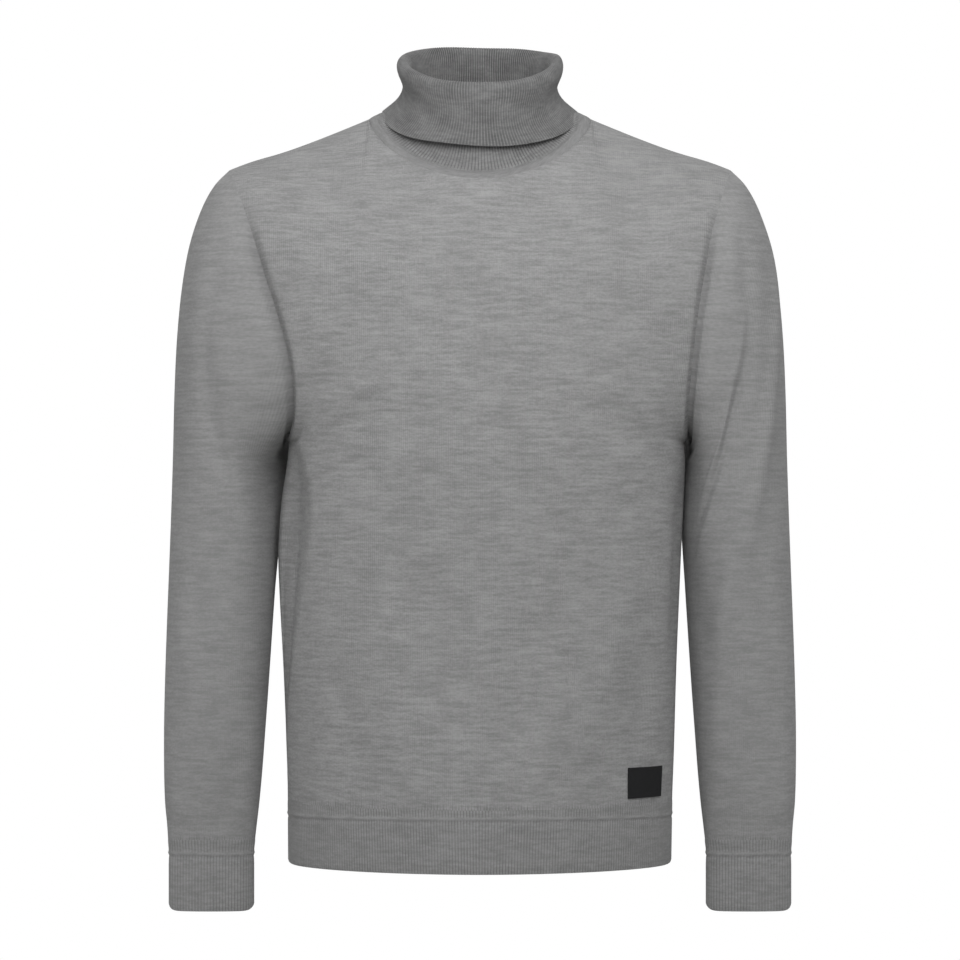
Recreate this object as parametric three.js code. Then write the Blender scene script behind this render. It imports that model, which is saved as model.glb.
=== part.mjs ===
import * as THREE from "three";

// Sizes in millimetres
// Z is up, the front faces -Y, the viewer's right is +X, and the origin is the base of the neck.
const BODY_WALL = 1.6;
const RIB_WALL = 1.8;
const COLLAR_WALL = 1.6;
const TRIM_WALL = 2;
const TRIM_BULGE = 1.2;
const LABEL_WALL = 1;
const SEAM_GAP = 0.3;
const RIB_HEIGHT = 0.7;
const RIDGE_HEIGHT = 1;
const LABEL_LIFT = 0.4;

const HEM_BOTTOM = -666;
const HEM_RIDGE = -621;
const HEM_SEAM = -610;
const ARMPIT = -290;
const SHOULDER_TIP = 225.5;
const SHOULDER_TIP_Z = -43.5;
const SHOULDER_Y = 4;
const SHOULDER_SAG = 1.8;
const SHOULDER_ROUNDING = 95;
const NECK_ROUNDING = 150;
const NECK_ROUNDNESS = 0.55;
const YOKE_ROUNDNESS = 2.4;

const CUFF_SEAM = -644;
const CUFF_RIDGE = -658;
const CUFF_BOTTOM = -708;
const CUFF_OUTER = 279.5;
const CUFF_INNER = 203;
const CUFF_DEPTH = 17;
const CUFF_Y = -6;
const CUFF_CORNER = 5;
const SLEEVE_ROUNDNESS = 2.15;
const CUFF_ROUNDNESS = 2.5;

const LABEL_WIDTH = 44;
const LABEL_HEIGHT = 27;
const LABEL_FROM_X = 130;
const LABEL_TOP = -576;

// Counts
const SHOULDER_COLUMNS = 6;
const NECK_COLUMNS = 14;
const COLUMNS = 2 * SHOULDER_COLUMNS + NECK_COLUMNS;
const HEM_RIB_SPLIT = 3;
const CUFF_RIB_SPLIT = 2;
const NECK_RIB_SPLIT = 3;
const BODY_ROWS = [HEM_SEAM, -580, -540, -492, -440, -390, -342, -308];
const YOKE_ROWS = [0, 0.05, 0.12, 0.21, 0.31, 0.42, 0.54, 0.66, 0.77, 0.87, 0.945, 1];

// Sections of the body by height: half width to each side, depth to the front and to the back,
// and how square the section is (2 is an ellipse)
const BODY_SECTIONS = [
  { z: -666, left: 172.5, right: 172, front: 117, back: 111, square: 1.85 },
  { z: -610, left: 173, right: 173, front: 116, back: 110, square: 1.9 },
  { z: -565, left: 174.6, right: 174.6, front: 113, back: 106, square: 1.95 },
  { z: -493, left: 177, right: 176.6, front: 109, back: 99, square: 2.1 },
  { z: -421, left: 180.5, right: 179.5, front: 109, back: 96, square: 2.2 },
  { z: -385, left: 181.4, right: 181, front: 111, back: 97, square: 2.25 },
  { z: -342, left: 178.6, right: 183, front: 114, back: 101, square: 2.3 },
  { z: -308, left: 173.6, right: 184.3, front: 117, back: 106, square: 2.37 },
  { z: -290, left: 172, right: 184, front: 118, back: 108, square: 2.4 },
  { z: -220, left: 172, right: 184, front: 117, back: 110, square: 2.4 },
  { z: -150, left: 172, right: 184, front: 111, back: 108, square: 2.4 },
  { z: -95, left: 172, right: 184, front: 104, back: 102, square: 2.4 },
  { z: -45, left: 172, right: 184, front: 97, back: 92, square: 2.4 },
  { z: 10, left: 172, right: 184, front: 90, back: 80, square: 2.4 },
];

// The armholes from armpit (up 0) to shoulder tip (up 1): distance out to each side, section depth
const FRONT_ARMHOLE = [
  { up: 0, z: ARMPIT, left: 172, right: 184, depth: 0 },
  { up: 0.06, z: -287, left: 170.6, right: 184.3, depth: 30 },
  { up: 0.15, z: -272, left: 167.5, right: 184.8, depth: 54 },
  { up: 0.28, z: -245, left: 167, right: 186.8, depth: 69 },
  { up: 0.42, z: -212, left: 171, right: 190, depth: 76 },
  { up: 0.57, z: -174, left: 181, right: 194.6, depth: 77 },
  { up: 0.72, z: -134, left: 193.5, right: 201, depth: 73 },
  { up: 0.85, z: -96, left: 205, right: 208, depth: 69 },
  { up: 0.945, z: -64, left: 216, right: 217.5, depth: 65 },
  { up: 1, z: SHOULDER_TIP_Z, left: SHOULDER_TIP, right: SHOULDER_TIP, depth: 62 },
];
const BACK_ARMHOLE = [
  { up: 0, z: ARMPIT, left: 172, right: 184, depth: 0 },
  { up: 0.06, z: -287, left: 171, right: 184.3, depth: 28 },
  { up: 0.15, z: -271, left: 170, right: 185, depth: 50 },
  { up: 0.28, z: -242, left: 172, right: 187, depth: 65 },
  { up: 0.42, z: -208, left: 178, right: 190.5, depth: 73 },
  { up: 0.57, z: -170, left: 187, right: 195.5, depth: 75 },
  { up: 0.72, z: -131, left: 197, right: 202, depth: 72 },
  { up: 0.85, z: -94, left: 207, right: 209, depth: 68 },
  { up: 0.945, z: -63, left: 217, right: 218, depth: 63 },
  { up: 1, z: SHOULDER_TIP_Z, left: SHOULDER_TIP, right: SHOULDER_TIP, depth: 60 },
];

// Sections of a sleeve, armhole to cuff: heights and distances out of its top and under lines,
// depths ahead of and behind its middle, the middle's place in Y, and how its inner half turns
const SLEEVE_SECTIONS = [
  { top: SHOULDER_TIP_Z, under: -290, outer: 225.5, inner: 178, ahead: 78, behind: 76, y: 2, turn: 0 },
  { top: -58, under: -298, outer: 239.5, inner: 184, ahead: 81, behind: 80, y: 4, turn: 6 },
  { top: -80, under: -306, outer: 251.5, inner: 183.6, ahead: 82, behind: 82, y: 7, turn: 14 },
  { top: -112, under: -316, outer: 262, inner: 183.8, ahead: 81, behind: 81, y: 10, turn: 20 },
  { top: -150, under: -330, outer: 268.8, inner: 183.2, ahead: 78, behind: 78, y: 13, turn: 21 },
  { top: -195, under: -347, outer: 273.2, inner: 182.8, ahead: 75, behind: 74, y: 15, turn: 17 },
  { top: -245, under: -368, outer: 275.6, inner: 183, ahead: 71, behind: 70, y: 16, turn: 11 },
  { top: -300, under: -392, outer: 277, inner: 184, ahead: 67, behind: 66, y: 17, turn: 5 },
  { top: -355, under: -420, outer: 278.8, inner: 185.6, ahead: 62, behind: 61, y: 17, turn: 1 },
  { top: -405, under: -450, outer: 280.6, inner: 187.4, ahead: 57, behind: 56, y: 15, turn: 0 },
  { top: -450, under: -480, outer: 282.2, inner: 189.2, ahead: 52, behind: 51, y: 12, turn: 0 },
  { top: -495, under: -512, outer: 283.6, inner: 191.2, ahead: 46, behind: 45, y: 9, turn: 0 },
  { top: -540, under: -548, outer: 284.4, inner: 193.6, ahead: 40, behind: 39, y: 5, turn: 0 },
  { top: -580, under: -583, outer: 284.2, inner: 196, ahead: 34, behind: 33, y: 1, turn: 0 },
  { top: -610, under: -611, outer: 283.2, inner: 198.4, ahead: 28, behind: 27, y: -2, turn: 0 },
  { top: -631, under: -631, outer: 281.2, inner: 200.6, ahead: 22, behind: 22, y: -4, turn: 0 },
  { top: CUFF_SEAM, under: CUFF_SEAM, outer: 280.2, inner: 202, ahead: 18, behind: 18, y: -6, turn: 0 },
];
const ARMHOLE_FADE = [1, 0.7, 0.45, 0.25, 0.1];
const TURN_SHARE = { left: 0.85, right: 0.35 };

// Rings of the neck: half width and height at the sides, depth and height at front and back,
// how the height falls towards the front, and how much the ring drops to the viewer's right
const NECKLINE = { half: 100, side: 3, front: 80, frontZ: -56, back: 61, backZ: 8, fall: 1.3, drop: 0 };
const TRIM_MIDDLE = { half: 96, side: 5.6, front: 77, frontZ: -53, back: 59.5, backZ: 10.5, fall: 1.3, drop: 0 };
const COLLAR_RINGS = [
  { half: 91, side: 8, front: 73, frontZ: -50.5, back: 57, backZ: 13, fall: 1.3, drop: 0 },
  { half: 79, side: 12, front: 70, frontZ: -39, back: 55.5, backZ: 22, fall: 1.25, drop: 0 },
  { half: 68, side: 20, front: 67.5, frontZ: -22, back: 55, backZ: 34, fall: 1.2, drop: 0 },
  { half: 64, side: 33, front: 65.5, frontZ: -3, back: 55, backZ: 48, fall: 1.1, drop: 0 },
  { half: 63.8, side: 46, front: 64, frontZ: 12, back: 55.5, backZ: 60, fall: 1, drop: 0 },
  { half: 66.2, side: 55, front: 65, frontZ: 24, back: 57, backZ: 69.5, fall: 1, drop: 0 },
  { half: 69.8, side: 58, front: 68.3, frontZ: 28, back: 60.5, backZ: 73, fall: 1, drop: 0 },
  { half: 72.8, side: 54.2, front: 71.4, frontZ: 24.2, back: 63.6, backZ: 69.5, fall: 1, drop: 0.005 },
  { half: 72.8, side: 47.5, front: 72.2, frontZ: 17, back: 64.2, backZ: 62, fall: 1, drop: 0.01 },
  { half: 67.9, side: 33, front: 72.4, frontZ: 2, back: 62.5, backZ: 46, fall: 1, drop: 0.01 },
  { half: 72.8, side: 21, front: 75, frontZ: -13, back: 65, backZ: 31, fall: 0.9, drop: 0.015 },
  { half: 87.2, side: 9.5, front: 80, frontZ: -27.5, back: 70, backZ: 18, fall: 0.85, drop: 0.02 },
];
const STAND_RIBBED_RINGS = 3;
const TURNED_RIBS_FROM = 8;

// Folds of the body: a line from one angle and height to another, its depth out (or in when
// negative) and its width. The angle is 0 at the centre and 90 at the viewer's right side seam.
const FRONT_FOLDS = [
  { fromTurn: -58, fromZ: -288, toTurn: -22, toZ: -232, depth: 3, width: 6 },
  { fromTurn: 62, fromZ: -296, toTurn: 30, toZ: -238, depth: 3, width: 6 },
  { fromTurn: -17, fromZ: -400, toTurn: -15, toZ: -530, depth: -4, width: 7 },
  { fromTurn: 14, fromZ: -450, toTurn: 8, toZ: -560, depth: -4, width: 6 },
  { fromTurn: 44, fromZ: -420, toTurn: 30, toZ: -560, depth: 3, width: 7 },
  { fromTurn: 76, fromZ: -330, toTurn: 78, toZ: -470, depth: -4, width: 7 },
];
// The large fold along the viewer's left flank of the front: by height, the place of its edge
// across the panel and how far the cloth behind that edge drops back
const FLANK_FOLD = [
  { z: -606, edge: -0.95, drop: 0 },
  { z: -570, edge: -0.92, drop: 8 },
  { z: -520, edge: -0.845, drop: 16 },
  { z: -475, edge: -0.75, drop: 22 },
  { z: -430, edge: -0.667, drop: 26 },
  { z: -390, edge: -0.61, drop: 27 },
  { z: -353, edge: -0.589, drop: 26 },
  { z: -320, edge: -0.63, drop: 18 },
  { z: -290, edge: -0.73, drop: 7 },
  { z: -262, edge: -0.82, drop: 0 },
];
const BACK_FOLDS = [
  { fromTurn: -60, fromZ: -292, toTurn: -26, toZ: -250, depth: 3, width: 7 },
  { fromTurn: 58, fromZ: -294, toTurn: 24, toZ: -262, depth: 3, width: 7 },
  { fromTurn: -38, fromZ: -350, toTurn: -27, toZ: -570, depth: -6, width: 9 },
  { fromTurn: 41, fromZ: -370, toTurn: 33, toZ: -560, depth: -5, width: 8 },
  { fromTurn: 4, fromZ: -440, toTurn: 1, toZ: -580, depth: 4, width: 9 },
  { fromTurn: 70, fromZ: -330, toTurn: 66, toZ: -520, depth: -5, width: 8 },
];

// Folds of the sleeves: from one section and angle to another. The angle is 0 along the top line,
// 90 at the front, 180 under the arm and 270 at the back.
const SLEEVE_FOLDS = {
  left: [
    { fromRing: 2, fromTurn: 62, toRing: 6, toTurn: 96, depth: -3, width: 14 },
    { fromRing: 7, fromTurn: 150, toRing: 10, toTurn: 108, depth: -3, width: 16 },
    { fromRing: 7, fromTurn: 272, toRing: 10, toTurn: 238, depth: -4, width: 18 },
    { fromRing: 10, fromTurn: 60, toRing: 13, toTurn: 84, depth: 2.5, width: 18 },
  ],
  right: [
    { fromRing: 4, fromTurn: 32, toRing: 9, toTurn: 106, depth: 4.5, width: 14 },
    { fromRing: 7, fromTurn: 152, toRing: 10, toTurn: 128, depth: -6, width: 20 },
    { fromRing: 2, fromTurn: 58, toRing: 5, toTurn: 100, depth: -3, width: 14 },
    { fromRing: 7, fromTurn: 268, toRing: 10, toTurn: 300, depth: -4, width: 18 },
  ],
};

const HALF_PI = Math.PI / 2;
const DEGREE = Math.PI / 180;

function clamp(value, low, high) {
  return Math.min(high, Math.max(low, value));
}

function mix(a, b, share) {
  return a + (b - a) * share;
}

function smooth(share) {
  const s = clamp(share, 0, 1);
  return s * s * (3 - 2 * s);
}

function power(value, exponent) {
  return Math.sign(value) * Math.abs(value) ** exponent;
}

// A smooth curve through one column of a table, read at a place in its guiding column.
function read(table, guide, column, place) {
  const last = table.length - 1;
  const way = Math.sign(table[last][guide] - table[0][guide]);
  let i = 0;
  while (i < last - 1 && (place - table[i + 1][guide]) * way > 0) i += 1;
  const step = table[i + 1][guide] - table[i][guide];
  const share = clamp((place - table[i][guide]) / step, 0, 1);
  const slope = (k) => {
    const before = Math.max(k - 1, 0);
    const after = Math.min(k + 1, last);
    return (table[after][column] - table[before][column]) / (table[after][guide] - table[before][guide]);
  };
  const a = table[i][column];
  const b = table[i + 1][column];
  const s2 = share * share;
  const s3 = s2 * share;
  return (
    a * (2 * s3 - 3 * s2 + 1) +
    b * (3 * s2 - 2 * s3) +
    step * (slope(i) * (s3 - 2 * s2 + share) + slope(i + 1) * (s3 - s2))
  );
}

// How far a list of folds moves a place on the body outwards.
function foldDepth(folds, turn, z) {
  let sum = 0;
  for (const fold of folds) {
    const along = clamp((z - fold.fromZ) / (fold.toZ - fold.fromZ), -0.5, 1.5);
    const centre = mix(fold.fromTurn, fold.toTurn, along);
    const inside = smooth((along + 0.25) / 0.45) * smooth((1.25 - along) / 0.45);
    sum += fold.depth * inside * Math.exp(-(((turn - centre) / fold.width) ** 2));
  }
  return sum * smooth((90 - Math.abs(turn)) / 9);
}

// How far the flank fold drops the front panel back at a place across it and a height.
function flankDrop(front, s, z) {
  const last = FLANK_FOLD[FLANK_FOLD.length - 1];
  if (!front || s >= 0 || z >= last.z || z <= FLANK_FOLD[0].z) return 0;
  const edge = read(FLANK_FOLD, "z", "edge", z);
  const behind = clamp((edge - s) / (edge + 1), 0, 1);
  return read(FLANK_FOLD, "z", "drop", z) * smooth(behind / 0.25) * (1 - smooth((behind - 0.15) / 0.85));
}

// One point of the body below the armpits: s runs from -1 to 1 across the panel.
function bodyPoint(front, s, z) {
  const turn = s * HALF_PI;
  const half = read(BODY_SECTIONS, "z", s < 0 ? "left" : "right", z);
  const depth = read(BODY_SECTIONS, "z", front ? "front" : "back", z);
  const bend = 2 / read(BODY_SECTIONS, "z", "square", z);
  const out = foldDepth(front ? FRONT_FOLDS : BACK_FOLDS, s * 90, z);
  const x = half * power(Math.sin(turn), bend) + out * Math.sin(turn);
  const y = depth * power(Math.cos(turn), bend) + out * Math.cos(turn) - flankDrop(front, s, z);
  return new THREE.Vector3(x, front ? -y : y, z);
}

// One point of a neck ring: the angle is 0 at the viewer's right and 90 degrees at the front.
function ringPoint(ring, angle) {
  const c = Math.cos(angle);
  const s = Math.sin(angle);
  const fall = s > 0 ? (ring.frontZ - ring.side) * s ** ring.fall : (ring.backZ - ring.side) * -s;
  const x = ring.half * c;
  const y = SHOULDER_Y - (s > 0 ? ring.front : ring.back) * s;
  return new THREE.Vector3(x, y, ring.side + fall - ring.drop * x);
}

// The top edge of a panel: along the shoulder to the neck corner, then round the neckline.
function topPoint(front, s) {
  const neckShare = NECK_COLUMNS / COLUMNS;
  if (Math.abs(s) <= neckShare + 1e-9) {
    const angle = HALF_PI * (1 - clamp(s / neckShare, -1, 1));
    return ringPoint(NECKLINE, front ? angle : -angle);
  }
  const share = (Math.abs(s) - neckShare) / (1 - neckShare);
  const x = mix(NECKLINE.half, SHOULDER_TIP, share);
  const z = mix(NECKLINE.side, SHOULDER_TIP_Z, share) - SHOULDER_SAG * Math.sin(Math.PI * share);
  return new THREE.Vector3(Math.sign(s) * x, SHOULDER_Y, z);
}

// One point of the body above the armpits: up runs from 0 at the armpit to 1 at the top edge.
function yokePoint(front, s, up) {
  const table = front ? FRONT_ARMHOLE : BACK_ARMHOLE;
  const sideName = s < 0 ? "left" : "right";
  const depthName = front ? "front" : "back";
  const edgeZ = read(table, "up", "z", up);
  const edgeX = read(table, "up", sideName, up);
  const edgeDepth = read(table, "up", "depth", up);
  const depthAtEdge = read(BODY_SECTIONS, "z", depthName, edgeZ);
  const edgeTurn = Math.acos(clamp(edgeDepth / depthAtEdge, 0, 1) ** (YOKE_ROUNDNESS / 2));
  const half = edgeX / Math.sin(edgeTurn) ** (2 / YOKE_ROUNDNESS);
  const turn = s * edgeTurn;
  const tipDepth = read(BODY_SECTIONS, "z", depthName, SHOULDER_TIP_Z);
  const tipTurn = Math.acos((table[table.length - 1].depth / tipDepth) ** (YOKE_ROUNDNESS / 2));
  const tipHalf = SHOULDER_TIP / Math.sin(tipTurn) ** (2 / YOKE_ROUNDNESS);
  const top = topPoint(front, s);
  const topBySection = tipHalf * power(Math.sin(s * tipTurn), 2 / YOKE_ROUNDNESS);
  const x = half * power(Math.sin(turn), 2 / YOKE_ROUNDNESS) + (top.x - topBySection) * up ** 3;
  const edgeShare = (edgeZ - ARMPIT) / (SHOULDER_TIP_Z - ARMPIT);
  const share = mix(up, edgeShare, s * s);
  const z = mix(ARMPIT, top.z, share);
  const depth = read(BODY_SECTIONS, "z", depthName, z) * power(Math.cos(turn), 2 / YOKE_ROUNDNESS);
  const neckShare = clamp((Math.abs(s) * COLUMNS) / NECK_COLUMNS, 0, 1);
  const cornerShare = (Math.abs(s) - NECK_COLUMNS / COLUMNS) / (1 - NECK_COLUMNS / COLUMNS);
  const outwards = smooth(cornerShare);
  const rounding = mix(mix(SHOULDER_ROUNDING, NECK_ROUNDING, smooth(neckShare)), SHOULDER_ROUNDING, outwards);
  const roundness = mix(NECK_ROUNDNESS * smooth(neckShare), 1, outwards);
  const below = clamp((top.z - z) / rounding, 0, 1);
  const over = mix(Math.sin(below * HALF_PI), Math.sqrt(1 - (1 - below) ** 2), roundness);
  const fold = foldDepth(front ? FRONT_FOLDS : BACK_FOLDS, turn / DEGREE, z) * smooth((1 - up) / 0.3);
  const way = front ? -1 : 1;
  const y = top.y + (way * depth - top.y) * over;
  const drop = flankDrop(front, s, z);
  return new THREE.Vector3(x + fold * Math.sin(turn), y + way * fold * Math.cos(turn) + drop, z);
}

// A sheet is rows of points with a normal at each. A round sheet closes on itself along its rows.
function makeSheet(rows, round, inside) {
  const count = rows[0].length;
  const at = (i, j) => rows[clamp(i, 0, rows.length - 1)][round ? (j + count) % count : clamp(j, 0, count - 1)];
  const normals = rows.map((row, i) =>
    row.map((point, j) => {
      const across = new THREE.Vector3().subVectors(at(i, j + 1), at(i, j - 1));
      const up = new THREE.Vector3().subVectors(at(i + 1, j), at(i - 1, j));
      return across.cross(up).normalize();
    }),
  );
  let facing = 0;
  rows[0].forEach((point, j) => {
    facing += normals[0][j].dot(new THREE.Vector3().subVectors(point, inside));
  });
  if (facing < 0) normals.forEach((row) => row.forEach((normal) => normal.negate()));
  const moves = rows.map((row) => row.map(() => new THREE.Vector3()));
  return { rows, round, normals, moves, raisedOut: null, raisedIn: null };
}

// The direction along the surface that is square to a seam and its normal, on the side of target.
function acrossSeam(before, after, normal, point, target) {
  const along = new THREE.Vector3().subVectors(after, before);
  const across = along.cross(normal).normalize();
  const wanted = new THREE.Vector3().subVectors(target, point);
  if (across.dot(wanted) < 0) across.negate();
  return across;
}

// A closed wall of a sheet: its outer points, its inner points a thickness behind, and its rims.
function wall(name, sheet, thickness, material) {
  const { rows, round, normals, moves } = sheet;
  const rowCount = rows.length;
  const count = rows[0].length;
  const positions = [];
  const place = (inner) => {
    rows.forEach((row, i) =>
      row.forEach((point, j) => {
        const raised = inner ? sheet.raisedIn : sheet.raisedOut;
        const lift = raised ? raised[i][j] : 0;
        const offset = inner ? -thickness - lift : lift;
        const made = point.clone().add(moves[i][j]).addScaledVector(normals[i][j], offset);
        positions.push(made.x, made.y, made.z);
      }),
    );
  };
  place(false);
  place(true);
  const innerStart = rowCount * count;
  const outer = (i, j) => i * count + (j % count);
  const inner = (i, j) => innerStart + outer(i, j);
  const faces = [];
  const quad = (a, b, c, d) => faces.push(a, b, c, a, c, d);
  const spans = round ? count : count - 1;
  for (let j = 0; j < spans; j += 1) {
    for (let i = 0; i < rowCount - 1; i += 1) {
      quad(outer(i, j), outer(i, j + 1), outer(i + 1, j + 1), outer(i + 1, j));
      quad(inner(i, j), inner(i + 1, j), inner(i + 1, j + 1), inner(i, j + 1));
    }
    quad(outer(0, j + 1), outer(0, j), inner(0, j), inner(0, j + 1));
    const top = rowCount - 1;
    quad(outer(top, j), outer(top, j + 1), inner(top, j + 1), inner(top, j));
  }
  if (!round) {
    for (let i = 0; i < rowCount - 1; i += 1) {
      quad(outer(i, 0), outer(i + 1, 0), inner(i + 1, 0), inner(i, 0));
      quad(outer(i + 1, spans), outer(i, spans), inner(i, spans), inner(i + 1, spans));
    }
  }
  let volume = 0;
  const corner = (k) => new THREE.Vector3().fromArray(positions, 3 * k);
  for (let f = 0; f < faces.length; f += 3) {
    volume += corner(faces[f]).dot(corner(faces[f + 1]).cross(corner(faces[f + 2])));
  }
  if (volume < 0) faces.reverse();
  const geometry = new THREE.BufferGeometry();
  geometry.setAttribute("position", new THREE.Float32BufferAttribute(positions, 3));
  geometry.setIndex(faces);
  geometry.computeVertexNormals();
  const mesh = new THREE.Mesh(geometry, material);
  mesh.name = name;
  return mesh;
}

function fabric(name, colour) {
  const material = new THREE.MeshStandardMaterial({ color: colour, roughness: 0.95, metalness: 0 });
  material.name = name;
  return material;
}

// The body panels
const columnShares = Array.from({ length: COLUMNS + 1 }, (_, j) => (2 * j) / COLUMNS - 1);

function panelRows(front) {
  const shares = front ? columnShares : [...columnShares].reverse();
  const lower = BODY_ROWS.map((z) => shares.map((s) => bodyPoint(front, s, z)));
  const upper = YOKE_ROWS.map((up) => shares.map((s) => yokePoint(front, s, up)));
  return [...lower, ...upper];
}

const frontSheet = makeSheet(panelRows(true), false, new THREE.Vector3(0, 0, HEM_SEAM));
const backSheet = makeSheet(panelRows(false), false, new THREE.Vector3(0, 0, HEM_SEAM));
const armpitRow = BODY_ROWS.length;
const topRow = frontSheet.rows.length - 1;
const half = SEAM_GAP / 2;

// Side and shoulder seams: the two panels share points and normals, and each draws back.
function joinPanels() {
  for (const [frontColumn, backColumn, way] of [[0, COLUMNS, -1], [COLUMNS, 0, 1]]) {
    for (let i = 0; i <= armpitRow; i += 1) {
      const normal = new THREE.Vector3(way, 0, 0);
      frontSheet.normals[i][frontColumn].copy(normal);
      backSheet.normals[i][backColumn].copy(normal);
      frontSheet.moves[i][frontColumn].y -= half;
      backSheet.moves[i][backColumn].y += half;
    }
    for (let k = 0; k <= SHOULDER_COLUMNS; k += 1) {
      const frontJ = way < 0 ? k : COLUMNS - k;
      const backJ = COLUMNS - frontJ;
      const normal = new THREE.Vector3(0.35 * way, 0, 1).normalize();
      frontSheet.normals[topRow][frontJ].copy(normal);
      backSheet.normals[topRow][backJ].copy(normal);
      frontSheet.moves[topRow][frontJ].y -= half;
      backSheet.moves[topRow][backJ].y += half;
    }
  }
}

// Hem seam loop: the bottom rows of both panels, then the band below it.
const loopOf = (row, from, to) => {
  const first = frontSheet.rows[row].slice(from, to);
  const second = backSheet.rows[row].slice(from, to);
  return [...first, ...second];
};

// Points set between those of a loop, on its chords.
function split(loop, parts) {
  return loop.flatMap((point, j) => {
    const next = loop[(j + 1) % loop.length];
    return Array.from({ length: parts }, (_, k) => point.clone().lerp(next, k / parts));
  });
}

function ribs(rows, height, plainRows) {
  return rows.map((row, i) => row.map((_, j) => (plainRows.includes(i) || j % 2 ? 0 : height)));
}

function bodyLoop(z) {
  const first = columnShares.slice(0, COLUMNS).map((s) => bodyPoint(true, s, z));
  const second = [...columnShares].reverse().slice(0, COLUMNS).map((s) => bodyPoint(false, s, z));
  return split([...first, ...second], HEM_RIB_SPLIT);
}

const hemHeights = [HEM_BOTTOM, HEM_RIDGE - 3, HEM_RIDGE, HEM_RIDGE + 3, HEM_SEAM];
const hemSheet = makeSheet(hemHeights.map(bodyLoop), true, new THREE.Vector3(0, 0, HEM_BOTTOM));
hemSheet.raisedOut = ribs(hemSheet.rows, RIB_HEIGHT, [2, 4]);
hemSheet.raisedOut[2] = hemSheet.raisedOut[2].map(() => RIDGE_HEIGHT);

function joinHem() {
  const top = hemHeights.length - 1;
  hemSheet.rows[top].forEach((_, j) => {
    hemSheet.moves[top][j].z -= half;
    hemSheet.normals[top][j].z = 0;
    hemSheet.normals[top][j].normalize();
  });
  for (const [sheet, start] of [[frontSheet, 0], [backSheet, COLUMNS]]) {
    sheet.rows[0].forEach((_, j) => {
      const k = ((start + j) * HEM_RIB_SPLIT) % hemSheet.rows[top].length;
      sheet.normals[0][j].copy(hemSheet.normals[top][k]);
      sheet.moves[0][j].z += half;
    });
  }
}

// Sleeves
function sleeveSection(way, ring, angle) {
  const section = SLEEVE_SECTIONS[ring];
  const top = new THREE.Vector3(way * section.outer, section.y, section.top);
  const under = new THREE.Vector3(way * section.inner, section.y, section.under);
  const middle = top.clone().add(under).multiplyScalar(0.5);
  const c = Math.cos(angle);
  const s = Math.sin(angle);
  const upward = top.clone().sub(middle).multiplyScalar(power(c, 2 / SLEEVE_ROUNDNESS));
  const reach = power(s, 2 / SLEEVE_ROUNDNESS) * (s > 0 ? section.ahead : section.behind);
  const turn = section.turn * (way < 0 ? TURN_SHARE.left : TURN_SHARE.right) * DEGREE;
  const lean = (way * reach * Math.tan(turn) * (1 - c)) / 2;
  return middle.add(upward).add(new THREE.Vector3(lean, -reach, 0));
}

function sleeveFold(folds, ring, degrees) {
  let sum = 0;
  for (const fold of folds) {
    const along = (ring - fold.fromRing) / (fold.toRing - fold.fromRing);
    const centre = mix(fold.fromTurn, fold.toTurn, clamp(along, -0.5, 1.5));
    const inside = smooth((along + 0.35) / 0.5) * smooth((1.35 - along) / 0.5);
    sum += fold.depth * inside * Math.exp(-(((degrees - centre) / fold.width) ** 2));
  }
  return sum;
}

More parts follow.
